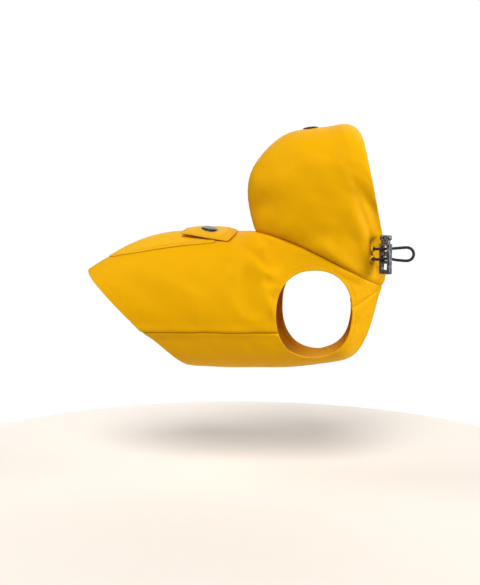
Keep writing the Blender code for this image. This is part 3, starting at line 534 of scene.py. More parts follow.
def flat_places(rings, number, angle):
    """Where points lie on the cloth laid flat, in millimetres: the length along the tube at their
    own angle, and the length round their own ring from the top. Both are summed on a fine grid."""
    rows, turns = np.linspace(0, LAST_RING, 111), np.linspace(0, HALF_TURN, 121)
    points = tube_points(rings, rows[:, None], turns[None])
    along = np.cumsum(np.linalg.norm(np.diff(points, axis=0, prepend=points[:1]), axis=-1), 0)
    around = np.cumsum(np.linalg.norm(np.diff(points, axis=1, prepend=points[:, :1]), axis=-1), 1)
    row, turn = number / LAST_RING * (len(rows) - 1), np.abs(angle) / HALF_TURN * (len(turns) - 1)
    low_row = np.clip(row.astype(int), 0, len(rows) - 2)
    low_turn = np.clip(turn.astype(int), 0, len(turns) - 2)
    row_share, turn_share = row - low_row, turn - low_turn

    def read(table):
        first, last = (table[low_row, turn] * (1 - row_share) + table[low_row + 1, turn] * row_share
                       for turn in (low_turn, low_turn + 1))
        return first * (1 - turn_share) + last * turn_share

    return np.stack([read(along), read(around) * np.sign(angle + 1e-9)], -1)


def smooth_step(value, start, end):
    """0 before start and 1 after end, with a level tangent at both."""
    share = np.clip((value - start) / (end - start), 0, 1)
    return share * share * (3 - 2 * share)


def bell(value, width):
    return np.exp(-((value / width) ** 2))


def rounded_edge(away, thickness):
    """How far an edge's rounding lowers the cloth: a quarter circle of half the thickness, which
    stops short of the middle so that a narrow rim is left."""
    radius = thickness / 2
    inside = 1 - np.clip(away / radius, 0, 1)
    return RIM_SHARE * radius * (1 - np.sqrt(1 - inside**2))


def ripples(along, waves):
    """A sum of sines along a length, each with its wavelength, its height and its start."""
    return sum(height * np.sin(along * TURN / wavelength + start)
               for wavelength, height, start in waves)


class Sheet:
    """One half or one whole of a piece of cloth: a grid of its outer and inner points, in
    millimetres, with their places on the flat cloth and how much painted shade each has in a
    seam or a groove."""

    def __init__(self, points, normals, flat, relief, thickness):
        self.normals = normals
        self.flat = flat
        self.outer = points + normals * relief[..., None]
        self.thickness = np.broadcast_to(np.asarray(thickness, float), relief.shape).copy()
        self.mark = np.zeros(relief.shape)

    def raise_by(self, height):
        self.outer += self.normals * height[..., None]

    def groove(self, away, depth):
        """The groove of a row of topstitching beside an edge, painted darker as shade."""
        shape = bell(away, EDGE_ROW)
        self.raise_by(-depth * shape)
        self.mark = np.maximum(self.mark, 0.7 * shape)

    def round_off(self, away, thickness):
        """Rounds an edge: the outer side comes down, and the cloth thins from both sides."""
        drop = rounded_edge(away, thickness)
        self.raise_by(-drop)
        self.thickness -= 2 * drop

    def hem(self, away, along, depth, sizes):
        """A hem turned in by depth: the band is a little proud and thicker, the row of stitches
        draws in a groove with small puckers beside it, and the edge is round. The groove is
        painted a little darker as shade."""
        band = 1 - smooth_step(away - depth, *BAND_FALL)
        groove = bell(away - depth, HEM_ROW)
        puckered = bell(away - depth, depth * PUCKER_SHARE) * smooth_step(away, 0.0, 2.0)
        puckered *= sizes.pucker / MM * ripples(along, HEM_PUCKERS)
        self.raise_by(BAND_RISE * band - HEM_GROOVE * groove + puckered)
        self.thickness += BAND_THICKNESS * band
        self.mark = np.maximum(self.mark, 0.2 * groove)
        self.round_off(away, sizes.cloth / MM + BAND_THICKNESS)

    def seam(self, away, along, sizes, depth, lip):
        """A sewn seam: the cloth turns down into a valley, and the turned-in edge behind it raises
        a low lip beside the valley. The valley's bottom is painted dark as shade. depth may vary
        over the sheet."""
        beside = smooth_step(away, *LIP_RISE) * (1 - smooth_step(away, *LIP_FALL))
        self.raise_by(lip * beside * (1 + ripples(along, SEAM_PUCKERS)))
        self.raise_by(-depth * bell(away, VALLEY))
        self.thickness += sizes.cloth / MM * LAP_THICKNESS * (1 - smooth_step(away, *LAP_FALL))
        self.mark = np.maximum(self.mark, np.clip(depth, 0, 1) * bell(away, VALLEY_SHADE))

    def on_side(self, side, rows):
        """The sheet and its rows of stitches, which are made for the right side, on either side."""
        if side == "right":
            return self, rows
        self.outer, self.normals = self.outer * MIRROR, self.normals * MIRROR
        self.flat = self.flat * (1, -1)
        return self, [row * MIRROR for row in rows]

    @property
    def inner(self):
        return self.outer - self.normals * self.thickness[..., None]


def back_places():
    """Places of the right half of the back panel. One side follows the centre line and then the
    neck seam; the other the side seam, the armhole and the shoulder."""
    hem_run = side_shares()
    rear_run = graded(REAR_LENGTH)
    neck_run = graded(NECK_LENGTH, far=SEAM_STEP)
    corner = (LAST_RING, SHOULDER_SEAM_AT_NECK)
    centre_line = joined(
        run((0, 0), (NAPE_START_RING, 0), hem_run),
        run((NAPE_START_RING, 0), (LAST_RING, 0), rear_run),
        run((LAST_RING, 0), corner, neck_run),
    )
    armhole = joined(
        locate(BODY_RINGS, armhole_outline(run_of(ARMHOLE_SIDE_SEAM, ARMHOLE_TOP_REAR, rear_run))),
        locate(BODY_RINGS, armhole_outline(run_of(ARMHOLE_TOP_REAR, ARMHOLE_SHOULDER, neck_run))),
    )
    edge = joined(side_seam(hem_run), armhole)
    places = ruled(centre_line, edge, graded(BACK_GIRTH, near=EDGE_STEP, far=EDGE_STEP))
    nape = len(hem_run) + len(rear_run) - 2
    return places, len(hem_run) - 1, nape


def run_of(start, end, share):
    return start + share * (end - start)


def side_shares():
    """Steps along the side seam, which back and chest panel have in common."""
    return graded(SIDE_LENGTH, 2.0, near=EDGE_STEP)


def side_seam(share):
    """Places along the right side seam: straight, as seen from the side."""
    start = tube_points(BODY_RINGS, 0, SIDE_SEAM_AT_HEM)[[0, 2]]
    end = armhole_outline(ARMHOLE_SIDE_SEAM)
    places = locate(BODY_RINGS, run(start, end, share))
    places[0] = 0, SIDE_SEAM_AT_HEM
    return places


def chest_places():
    """Places of the right half of the chest panel. One side follows the side seam, the armhole and
    the shoulder seam; the other is the belly's centre line."""
    hem_run = side_shares()
    low_run = graded(LOW_LENGTH)
    shoulder_run = graded(SHOULDER_LENGTH, 1.5, far=EDGE_STEP)
    corner = (LAST_RING, SHOULDER_SEAM_AT_NECK)
    armhole_low = run_of(ARMHOLE_SIDE_SEAM, ARMHOLE_SHOULDER + TURN, low_run)
    armhole = locate(BODY_RINGS, armhole_outline(armhole_low))
    edge = joined(side_seam(hem_run), armhole, run(armhole[-1], corner, shoulder_run))
    belly_line = joined(
        run((0, HALF_TURN), (BELLY_FRONT_RING, HALF_TURN), hem_run),
        run((BELLY_FRONT_RING, HALF_TURN), (SHOULDER_RING, HALF_TURN), low_run),
        run((SHOULDER_RING, HALF_TURN), (LAST_RING, HALF_TURN), shoulder_run),
    )
    places = ruled(edge, belly_line, graded(CHEST_GIRTH, near=EDGE_STEP))
    return places, len(hem_run) - 1, len(hem_run) + len(low_run) - 2


def meet_at_neck(points, normals, relief):
    """Near the neck seam, body and hood lose their relief and turn to a direction midway between
    their own, so that their edges meet. Returns the directions and the relief."""
    turn = np.linspace(0, HALF_TURN, NECK_STATIONS)
    line = tube_points(HOOD_RINGS, 0.0, turn)
    midway = unit(outward(BODY_RINGS, float(LAST_RING), turn) + outward(HOOD_RINGS, 0.0, turn))
    away, along = edge_distance(points, line)
    shared = read_at(along, lengths_along(line), midway)
    kept = smooth_step(away, NECK_EDGE, NECK_TURN)[..., None]
    relief = relief * smooth_step(away, NECK_EDGE, NECK_REACH)
    return unit(shared + (normals - shared) * kept), relief


def body_sheet(places, side, sizes):
    number, angle = places[..., 0], places[..., 1]
    points, normals = surface(BODY_RINGS, number, angle)
    flat = flat_places(BODY_RINGS, number, angle)
    waves = unevenness(flat, BODY_WAVE, sizes.unevenness / MM, BODY_SEEDS[side])
    relief = body_relief(points, side) + waves * centre_fade(points)
    normals, relief = meet_at_neck(points, normals, relief)
    return Sheet(points, normals, flat, relief, sizes.cloth / MM), points


def back_half(side, sizes):
    """Half of the back panel, with its hem, side seam, armhole, shoulder and neck seams, and the
    rows of stitches that belong to it."""
    places, corner, nape = back_places()
    sheet, points = body_sheet(places, side, sizes)
    hem = edge_distance(points, points[0])
    armhole = edge_distance(points, points[corner:, -1])
    seam = edge_distance(points, points[: corner + 1, -1])
    neck = edge_distance(points, points[nape:, 0])
    shoulder = edge_distance(points, points[-1])
    sheet.seam(*seam, sizes, depth=1.5, lip=0.35)
    sheet.seam(*neck, sizes, depth=0.8, lip=0.15)
    sheet.seam(*shoulder, sizes, depth=0.5, lip=0.1)
    sheet.hem(*hem, sizes.hem / MM, sizes)
    sheet.hem(*armhole, sizes.armhole_hem / MM, sizes)
    rows = [
        crossing(sheet, hem[0], sizes.hem / MM, 0)[:, :-3],
        crossing(sheet, armhole[0], sizes.armhole_hem / MM, 1, from_end=True)[:, corner + 1 :],
    ]
    return *sheet.on_side(side, rows), nape


def crossing(sheet, away, value, axis, from_end=False):
    """The line on a sheet where away first reaches value, straight between the points on either
    side, and the directions out of the cloth along it. axis is the one that it is looked for on."""
    grids = [sheet.outer, sheet.normals, away[..., None]]
    if axis == 0:
        grids = [np.swapaxes(grid, 0, 1) for grid in grids]
    if from_end:
        grids = [grid[:, ::-1] for grid in grids]
    outer, normals, away = grids
    row = np.arange(len(outer))
    far = np.clip((away[..., 0] >= value).argmax(1), 1, None)
    low, high = away[row, far - 1, 0], away[row, far, 0]
    share = np.clip((value - low) / np.maximum(high - low, 1e-6), 0, 1)[:, None]
    line = outer[row, far - 1] * (1 - share) + outer[row, far] * share
    out = unit(normals[row, far - 1] * (1 - share) + normals[row, far] * share)
    return np.stack([line, out])


def chest_half(side, sizes):
    places, corner, shoulder_row = chest_places()
    sheet, points = body_sheet(places, side, sizes)
    hem = edge_distance(points, points[0])
    seam = edge_distance(points, points[: corner + 1, 0])
    armhole = edge_distance(points, points[corner : shoulder_row + 1, 0])
    shoulder = edge_distance(points, points[shoulder_row:, 0])
    neck = edge_distance(points, points[-1])
    sheet.seam(*seam, sizes, depth=1.6, lip=0.0)
    sheet.seam(*shoulder, sizes, depth=0.5, lip=0.25)
    sheet.seam(*neck, sizes, depth=0.8, lip=0.15)
    sheet.hem(*hem, sizes.hem / MM, sizes)
    sheet.hem(*armhole, sizes.armhole_hem / MM, sizes)
    rows = [
        crossing(sheet, hem[0], sizes.hem / MM, 0)[:, 3:],
        crossing(sheet, armhole[0], sizes.armhole_hem / MM, 1)[:, corner : shoulder_row + 1],
    ]
    return sheet.on_side(side, rows)


def hood_half(side, sizes):
    """Half of the hood. Over the neck seam the cloth rolls out, and along the front edge it is the
    drawcord's tunnel: a raised band behind a row of stitches, gathered towards the throat."""
    before = TUNNEL_RING * graded(HOOD_LENGTH, near=SEAM_STEP, far=0.3)
    within = (LAST_RING - TUNNEL_RING) * graded(TUNNEL_LENGTH, 1.2, near=0.3, far=SEAM_STEP)
    numbers = joined(before, TUNNEL_RING + within)
    angles = HALF_TURN * graded(HOOD_GIRTH, near=SEAM_STEP, far=SEAM_STEP)
    number, angle = np.meshgrid(numbers, angles, indexing="ij")
    points, normals = surface(HOOD_RINGS, number, angle)
    flat = flat_places(HOOD_RINGS, number, angle)
    row = int(np.abs(numbers - TUNNEL_RING).argmin())
    neck, front, crown, throat, stitched = (edge_distance(points, line) for line in (
        points[0], points[-1], points[:, 0], points[:, -1], points[row]))

    relief = fold_height(points, HOOD_FOLDS[side]) + crease_height(points, HOOD_CREASES[side])
    relief += dent_height(points, HOOD_DENTS[side])
    waves = unevenness(flat, HOOD_WAVE, sizes.unevenness / MM, HOOD_SEEDS[side])
    relief += waves * centre_fade(points)
    normals, relief = meet_at_neck(points, normals, relief)
    faded = 1 - ROLL_FADE * smooth_step(np.degrees(angle), *ROLL_FADE_ANGLES)
    roll = neck[0] / sizes.roll_reach * MM
    relief += sizes.neck_roll / MM * np.sin(angle) ** 2 * faded * roll * np.exp(1 - roll)
    relief += tunnel_relief(number, angle, front[0], *stitched)

    sheet = Sheet(points, normals, flat, relief, sizes.cloth / MM)
    groove = TUNNEL_GROOVE * bell(stitched[0], HEM_ROW)
    sheet.raise_by(-groove)
    # The tunnel's groove is painted darker as shade.
    sheet.mark = groove
    inner_layer = np.where(number >= TUNNEL_RING, TUNNEL_RISE + TUNNEL_LAYER, 0)
    sheet.thickness += inner_layer * smooth_step(stitched[0], 0, 1.0)
    sheet.seam(*neck, sizes, depth=1.1 * faded, lip=0.0)
    sheet.seam(*crown, sizes, depth=0.6, lip=0.25)
    sheet.seam(*throat, sizes, depth=0.6, lip=0.2)
    sheet.round_off(front[0], TUNNEL_RISE + TUNNEL_LAYER + sizes.cloth / MM)
    rows = [np.stack([sheet.outer[row], sheet.normals[row]])[:, 3:-3]]
    return sheet.on_side(side, rows)


def tunnel_relief(number, angle, from_edge, from_row, along_row):
    """The drawcord's tunnel: a step up at its row of stitches, fullest halfway to the hood's edge,
    with ripples beside the row that are higher where the cord gathers the cloth."""
    halfway = np.clip(from_edge / np.maximum(from_edge + from_row, 1e-6), 0, 1)
    full = TUNNEL_FULLNESS * np.sin(halfway * HALF_TURN)
    band = smooth_step(number, TUNNEL_RING, TUNNEL_RING + TUNNEL_BLEND)
    gathered = RIPPLE + GATHERED_RIPPLE * smooth_step(np.degrees(angle), *GATHER_ANGLES)
    beside = bell(from_row, RIPPLE_REACH) * smooth_step(from_row, 0.0, 2.5)
    return (TUNNEL_RISE + full) * band + gathered * ripples(along_row, TUNNEL_PUCKERS) * beside


def back_outside(number, angle, sizes):
    """Points on the back panel's outside, on both sides of the centre line, with the directions
    out of it and their flat places."""
    points, normals = surface(BODY_RINGS, number, angle)
    flat = flat_places(BODY_RINGS, number, angle)
    relief = np.zeros(points.shape[:-1])
    for side, there, as_right in (("right", points[..., 1] < 0, points),
                                  ("left", points[..., 1] >= 0, points * MIRROR)):
        waves = unevenness(np.abs(flat), BODY_WAVE, sizes.unevenness / MM, BODY_SEEDS[side])
        relief += there * (body_relief(as_right, side) + waves * centre_fade(points))
    return points + normals * relief[..., None], normals, flat


def pocket_sheet(sizes):
    """The pocket: a U whose half angle follows a superellipse from its rear end to its full width.
    It is full in the middle, with long shallow ridges that run to its mouth, and the mouth's hem
    stands off the back."""
    turn = np.linspace(0, HALF_TURN / 2, POCKET_END_ROWS)
    power = 2 / POCKET_ROUNDNESS
    end = POCKET_FULL_RING - (POCKET_FULL_RING - POCKET_REAR_RING) * np.abs(np.cos(turn)) ** power
    straight = (POCKET_MOUTH_RING - POCKET_FULL_RING) * graded(POCKET_STRAIGHT, 1.4, far=SEAM_STEP)
    numbers = joined(end, POCKET_FULL_RING + straight)
    wide = np.concatenate([np.sin(turn) ** power, np.ones(len(straight) - 1)])
    across = 2 * graded(POCKET_WIDTH, 1.2, near=SEAM_STEP, far=SEAM_STEP) - 1
    angle = TWIST + POCKET_HALF_ANGLE * wide[:, None] * across
    number = np.broadcast_to(numbers[:, None], angle.shape)
    base, normals, flat = back_outside(number, angle, sizes)
    sewn = edge_distance(base, np.concatenate([base[::-1, 0], base[1:, -1]]))
    mouth = edge_distance(base, base[-1])

    share = (numbers[:, None] - POCKET_REAR_RING) / (POCKET_MOUTH_RING - POCKET_REAR_RING)
    swell = POCKET_RISE * np.abs(np.sin(HALF_TURN * share)) ** POCKET_RISE_POWER
    rise = (swell + POCKET_MOUTH_RISE * share**4) * (1 - across**4)
    slack = POCKET_SLACK * smooth_step(sewn[0], 2.0, 16.0)
    ridges = ripples(flat[..., 1], [(wavelength, height, drift * flat[..., 0] + start)
                                    for wavelength, height, drift, start in POCKET_RIDGES])
    lift = POCKET_OFFSET + rise + slack + ridges * smooth_step(sewn[0], 1.5, 7.0)

    sheet = Sheet(base, normals, flat, lift, sizes.pocket_cloth / MM)
    edge = sizes.edge_stitch / MM
    sheet.groove(sewn[0] - edge, 0.25)
    sheet.hem(*mouth, sizes.mouth_hem / MM, sizes)
    sheet.round_off(sewn[0], sizes.pocket_cloth / MM)
    side_row = crossing(sheet, sewn[0], edge, 1)
    other_row = crossing(sheet, sewn[0], edge, 1, from_end=True)
    first = int(np.argmax(sewn[0].max(1) > 2 * edge))
    line = np.concatenate([side_row[:, :first:-1], other_row[:, first + 1 :]], 1)
    mouth_row = crossing(sheet, mouth[0], sizes.mouth_hem / MM, 0, from_end=True)
    return sheet, [line, mouth_row[:, 4:-4]]


def flap_points(along, across):
    """The flap's top side. along runs from 0 at its seam to 1 at its rear edge, across from -1 on
    the left to 1 on the right. Near the seam it takes the back's own shape, and it flattens
    towards the rear, where its cross-section is a shallow arch. Its stud pulls the cloth within
    its reach down, more so in front of it than behind it."""
    seam_number = FLAP_SEAM_RING - FLAP_SEAM_SWEEP * across**2
    angle = TWIST + FLAP_HALF_ANGLE * across
    points, normals = surface(BODY_RINGS, seam_number, angle)
    seam = points + normals * FLAP_SEAM_LIFT
    seam_x = tube_points(BODY_RINGS, FLAP_SEAM_RING, 0.0)[0]

    def arch(share):
        crown = FLAP_CROWN[0] + FLAP_CROWN[1] * share + FLAP_CROWN[2] * share**2
        drop = FLAP_DROP_SEAM + (FLAP_DROP_REAR - FLAP_DROP_SEAM) * share**2
        x = seam_x + share * (FLAP_REAR_X - FLAP_REAR_SKEW * across - seam_x)
        ahead, beside = x - FLAP_CAP_X, FLAP_HALF_WIDTH * (across - FLAP_CAP_ACROSS)
        fade = np.exp(-((np.hypot(ahead, beside) / FLAP_CAP_REACH) ** 4))
        dent = (FLAP_CAP_DIP + math.tan(FLAP_CAP_LEAN) * ahead) * fade
        y, z = -FLAP_HALF_WIDTH * across, crown - drop * across**2 - dent - TWIST_CENTRE_Z
        twist = TWIST + share * (FLAP_REAR_TWIST - TWIST)
        cosine, sine = np.cos(twist), np.sin(twist)
        return np.stack([x, y * cosine - z * sine, y * sine + z * cosine + TWIST_CENTRE_Z], -1)

    return arch(along) + ((1 - along) ** 4)[..., None] * (seam - arch(np.zeros(across.shape)))


def flap_cap_seat():
    """Where the flap's stud sits, and the direction out of the flap there."""
    seam_x = tube_points(BODY_RINGS, FLAP_SEAM_RING, 0.0)[0]
    rear_x = FLAP_REAR_X - FLAP_REAR_SKEW * FLAP_CAP_ACROSS
    along = np.array([(FLAP_CAP_X - seam_x) / (rear_x - seam_x)])
    across = np.array([FLAP_CAP_ACROSS])
    step = 0.01
    slope_along = flap_points(along + step, across) - flap_points(along - step, across)
    slope_across = flap_points(along, across + step) - flap_points(along, across - step)
    return flap_points(along, across)[0], unit(np.cross(slope_along, slope_across))[0]


def flap_sheet(sizes):
    """The flap: two layers of cloth turned out and topstitched near the edge, sewn down in front
    with two rows."""
    shares = graded(FLAP_WIDTH, 1.1, near=SEAM_STEP, far=SEAM_STEP)
    along, across = np.meshgrid(graded(FLAP_LENGTH, 1.1, near=SEAM_STEP, far=SEAM_STEP),
                                2 * shares - 1, indexing="ij")
    base = flap_points(along, across)
    normals = unit(np.cross(np.gradient(base, axis=0), np.gradient(base, axis=1)))
    normals *= np.sign(normals[..., 2:])
    flat = np.stack([along * FLAP_FLAT[0], across * FLAP_FLAT[1]], -1)
    free = edge_distance(base, np.concatenate([base[:, 0], base[-1], base[::-1, -1]]))
    seam = edge_distance(base, base[0])
    waves = unevenness(flat, FLAP_WAVE, FLAP_UNEVENNESS, FLAP_SEED)
    full = FLAP_FULLNESS * smooth_step(np.minimum(free[0], seam[0]), 2.0, 8.0)
    sheet = Sheet(base, normals, flat, waves + full, sizes.flap_cloth / MM)
    edge = sizes.edge_stitch / MM
    sheet.groove(free[0] - edge, 0.22)
    for value in (edge, edge + SEAM_ROW_GAP):
        sheet.groove(seam[0] - value, 0.22)
    sheet.round_off(np.minimum(free[0], seam[0]), sizes.flap_cloth / MM)
    inset = 2
    left = crossing(sheet, free[0], edge, 1)[:, inset:-inset]
    right = crossing(sheet, free[0], edge, 1, from_end=True)[:, inset:-inset]
    rear = crossing(sheet, free[0], edge, 0, from_end=True)[:, inset:-inset]
    front = [crossing(sheet, seam[0], value, 0)[:, 5:-5] for value in (edge, edge + SEAM_ROW_GAP)]
    return sheet, [left, rear, right, *front]


# ---------------------------------------------------------------------------------------------
# Meshes
# ---------------------------------------------------------------------------------------------


def mesh_object(name, points, faces, materials, flat=None, mark=None, face_materials=None):
    """A smooth object from points in millimetres, with its flat places as a UV map in metres and
    the painted shade of its seams and grooves as an attribute."""
    mesh = bpy.data.meshes.new(name)
    mesh.from_pydata(points * MM, [], faces)
    if flat is not None:
        corners = np.empty(len(mesh.loops), np.int32)
        mesh.loops.foreach_get("vertex_index", corners)
        layer = mesh.uv_layers.new(name="cloth")
        layer.data.foreach_set("uv", (flat * MM)[corners].astype(np.float32).ravel())
    if mark is not None:
        # The seam attribute holds the painted shade of the seams and grooves.
        attribute = mesh.attributes.new("seam", "FLOAT", "POINT")
        attribute.data.foreach_set("value", mark.astype(np.float32))
    for material in materials:
        mesh.materials.append(material)
    if face_materials is not None:
        mesh.polygons.foreach_set("material_index", face_materials)
    mesh.shade_smooth()
    mesh.update()
    thing = bpy.data.objects.new(name, mesh)
    bpy.context.collection.objects.link(thing)
    return thing


def numbered(*shape):
    """A grid of point numbers."""
    return np.arange(math.prod(shape)).reshape(shape)


def closed_round(ids):
    """A grid whose first column comes once more at its end."""
    return np.concatenate([ids, ids[..., :1]], -1)


def grid_quads(ids):
    """The quads of a grid of point numbers, or of a stack of such grids."""
    corners = [ids[..., :-1, :-1], ids[..., :-1, 1:], ids[..., 1:, 1:], ids[..., 1:, :-1]]
    return np.stack(corners, -1).reshape(-1, 4)


def cloth_object(name, sheets, shared, materials, turn_first=False):
    """A closed shell from one or two sheets, where the second shares some of its grid points with
    the first. Open edges get a narrow rim, and the inside has the second material."""
    grids = [numbered(*sheet.mark.shape) for sheet in sheets]
    if shared is not None:
        grids[1] += grids[0].size
        grids[1][shared] = grids[0][shared]
    quads = [grid_quads(grid) for grid in grids]
    quads = np.concatenate([part[:, ::-1] if (index == 1) != turn_first else part
                            for index, part in enumerate(quads)])
    used, quads = np.unique(quads, return_inverse=True)
    quads = quads.reshape(-1, 4)
    count = len(used)
    edges = np.concatenate([quads[:, [k, (k + 1) % 4]] for k in range(4)])
    keys, reverse = edges[:, 0] * count + edges[:, 1], edges[:, 1] * count + edges[:, 0]
    open_edges = edges[~np.isin(reverse, keys)]
    rims = np.stack([open_edges[:, 1], open_edges[:, 0], open_edges[:, 0] + count,
                     open_edges[:, 1] + count], -1)

    def gathered(values):
        return np.concatenate([value.reshape(-1, *value.shape[2:]) for value in values])[used]

    outer, inner = gathered([s.outer for s in sheets]), gathered([s.inner for s in sheets])
    flat, mark = gathered([s.flat for s in sheets]), gathered([s.mark for s in sheets])
    faces = np.concatenate([quads, quads[:, ::-1] + count, rims])
    inside = np.zeros(len(faces), np.int32)
    inside[len(quads) : 2 * len(quads)] = 1
    return mesh_object(name, np.concatenate([outer, inner]), faces.tolist(), materials,
                       np.concatenate([flat, flat]), np.concatenate([mark, mark]), inside)


def even_line(line, step):
    """A line of points and directions read again at even steps along its own length."""
    points, out = line
    length = lengths_along(points)
    places = np.linspace(0, length[-1], max(int(round(length[-1] / step)), 1) + 1)
    return read_at(places, length, points), unit(read_at(places, length, out))


# A stitch's stations: how far along it they are, and how high over the cloth in thread radii
STITCH_SHARES = np.array([0.0, 0.16, 0.5, 0.84, 1.0])
STITCH_LIFTS = np.array([-0.9, 0.5, 0.85, 0.5, -0.9])
THREAD_SIDES = 6


def stitch_points(lines, step, gap, radius):
    """Stitches along lines: each is a thread through its stations, whose ends dip into the cloth
    and whose middle stands over it."""
    starts, ends, outs = [], [], []
    for line in lines:
        points, out = even_line(line, step)
        starts.append(points[:-1] + (points[1:] - points[:-1]) * gap / step / 2)
        ends.append(points[1:] - (points[1:] - points[:-1]) * gap / step / 2)
        outs.append(unit(out[:-1] + out[1:]))
    start, end, out = np.concatenate(starts), np.concatenate(ends), np.concatenate(outs)
    along = unit(end - start)
    side = np.cross(along, out)
    share, lift = STITCH_SHARES[None, :, None], STITCH_LIFTS[None, :, None] * radius
    centre = start[:, None] * (1 - share) + end[:, None] * share + out[:, None] * lift
    turn = np.arange(THREAD_SIDES) * TURN / THREAD_SIDES
    circle = side[:, None, None] * np.cos(turn)[None, None, :, None]
    circle = circle + out[:, None, None] * np.sin(turn)[None, None, :, None]
    return centre[:, :, None] + radius * circle


def stitches(scene, name, lines):
    """One object of many stitches."""
    sizes = scene.raincoat_sizes
    thread = material_once("thread", lambda: thread_finish(scene.raincoat_colours.thread))
    points = stitch_points(lines, sizes.stitch / MM, sizes.stitch_gap / MM, sizes.thread / MM)
    ids = numbered(*points.shape[:-1])
    caps = np.concatenate([ids[:, 0, ::-1], ids[:, -1]])
    faces = grid_quads(closed_round(ids)).tolist() + caps.tolist()
    thing = mesh_object(name, points.reshape(-1, 3), faces, [thread])
    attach(thing, "coat")
    return thing


def turned(name, profile, centre, axis, material, segments=72):
    """A profile of radius and height, which starts and ends on the axis, carried round it."""
    turn = np.arange(segments) * TURN / segments
    up = Vector(axis).to_track_quat("Z", "Y").to_matrix()
    ring = np.stack([np.outer(profile[:, 0], np.cos(turn)), np.outer(profile[:, 0], np.sin(turn)),
                     np.repeat(profile[:, 1:], segments, 1)], -1)
    points = ring @ np.array(up).T + np.array(centre)
    body = points[1:-1].reshape(-1, 3)
    ids = closed_round(numbered(len(profile) - 2, segments))
    top, bottom = ids[0].tolist(), ids[-1].tolist()
    faces = grid_quads(ids)[:, ::-1].tolist()
    faces += [(here, after, len(body)) for here, after in zip(top, top[1:])]
    faces += [(after, here, len(body) + 1) for here, after in zip(bottom, bottom[1:])]
    return mesh_object(name, np.concatenate([body, points[:1, 0], points[-1:, 0]]), faces, [material])


def tube_along(name, path, radius, material, sides=16):
    """A circle carried along a path by parallel transport, with round ends closed by fans. Its flat
    place is the length along the path and the length round the circle."""
    along = unit(np.gradient(path, axis=0))
    side = unit(np.cross(along[0], (0.3, 0.2, 1.0)))
    frames = []
    for direction in along:
        side = side - direction * (side @ direction)
        side = side / np.linalg.norm(side)
        frames.append(side)
    side = np.array(frames)
    other = np.cross(along, side)
    turn = np.linspace(0, TURN, sides + 1)
    cosine, sine = np.cos(turn)[None, :, None], np.sin(turn)[None, :, None]
    points = path[:, None] + radius * (side[:, None] * cosine + other[:, None] * sine)
    flat = np.stack(np.broadcast_arrays(lengths_along(path)[:, None], (turn * radius)[None]), -1)
    ids = numbered(*points.shape[:2])
    faces = grid_quads(ids)[:, ::-1].tolist()
    faces += [ids[0, :-1].tolist(), ids[-1, -2::-1].tolist()]
    return mesh_object(name, points.reshape(-1, 3), faces, [material], flat.reshape(-1, 2))


# ---------------------------------------------------------------------------------------------
# Materials
# ---------------------------------------------------------------------------------------------


def arithmetic(operation):
    """An operator for sockets, and the same with its two sides exchanged."""

    def plain(self, other):
        return self.math(operation, self, other)

    def reflected(self, other):
        return self.math(operation, other, self)

    return plain, reflected


class Wire:
    """An output socket. Arithmetic on it adds Math nodes to its material."""

    def __init__(self, finish, socket):
        self.finish = finish
        self.socket = socket

    def math(self, operation, first, second=0.0):
        return self.finish.node("Math", {0: first, 1: second}, operation=operation)

    __add__, __radd__ = arithmetic("ADD")
    __sub__, __rsub__ = arithmetic("SUBTRACT")
    __mul__, __rmul__ = arithmetic("MULTIPLY")
    __pow__, __rpow__ = arithmetic("POWER")

    def sine(self):
        return self.math("SINE", self)

    def size(self):
        return self.math("ABSOLUTE", self)

    def above(self, limit):
        return self.math("GREATER_THAN", self, limit)

    def clipped(self):
        return self.finish.node("Clamp", {0: self})


class Finish:
    """A material, with its Principled shader's fixed values set by name and its nodes made by one
    method."""

    def __init__(self, name, **fixed):
        self.material = bpy.data.materials.new(name)
        self.material.use_nodes = True
        self.tree = self.material.node_tree
        self.surface = self.tree.nodes["Principled BSDF"]
        for socket, value in fixed.items():
            self.surface.inputs[socket.replace("_", " ")].default_value = value

    def node(self, kind, values=(), output=0, **settings):
        """Adds a node: its settings first, then the values or links of its sockets. Returns one of
        its outputs."""
        made = self.tree.nodes.new("ShaderNode" + kind)
        for setting, value in settings.items():
            setattr(made, setting, value)
        for socket, value in dict(values).items():
            self.link(value, made.inputs[socket])
        return Wire(self, made.outputs[output])

    def link(self, value, socket):
        if isinstance(value, Wire):
            self.tree.links.new(value.socket, socket)
        else:
            socket.default_value = value

    def drive(self, **maps):
        for socket, value in maps.items():
            self.link(value, self.surface.inputs[socket.replace("_", " ")])

    def mixed(self, share, first, second):
        """Two colours mixed by a share."""
        first, second = (part if isinstance(part, Wire) else (*part, 1.0) for part in (first, second))
        return self.node("Mix", {0: share, 6: first, 7: second}, output=2, data_type="RGBA")

    def noise(self, scale, detail=3.0, roughness=0.5, where=None):
        where = where or self.node("TexCoord", output="Object")
        return self.node("TexNoise", {"Vector": where, "Scale": scale, "Detail": detail,
                                      "Roughness": roughness})

    def streaks(self, scale, detail=3.0, where=None, turn=(0.0, 0.0, 0.0)):
        """Noise that is drawn out along the axes on which its scale is low."""
        where = where or self.node("TexCoord", output="Object")
        values = {"Vector": where, "Rotation": turn, "Scale": scale}
        return self.noise(1.0, detail, where=self.node("Mapping", values))

    def bump(self, height, distance, strength=1.0, normal=None):
        values = {"Height": height, "Distance": distance, "Strength": strength}
        if normal:
            values["Normal"] = normal
        return self.node("Bump", values)

    def flat_lengths(self):
        """The two lengths of the cloth's flat place, in metres."""
        parts = self.node("SeparateXYZ", {0: self.node("UVMap", uv_map="cloth")})
        return parts, Wire(self, parts.socket.node.outputs[1])


def scaled(colour, factor, lift=0.0):
    return tuple(min(part * factor + lift, 1.0) for part in colour)


# How dark the bottom of a seam's valley is painted as shade, as a share of the deep colour
SEAM_PAINTED_SHADE = 0.55


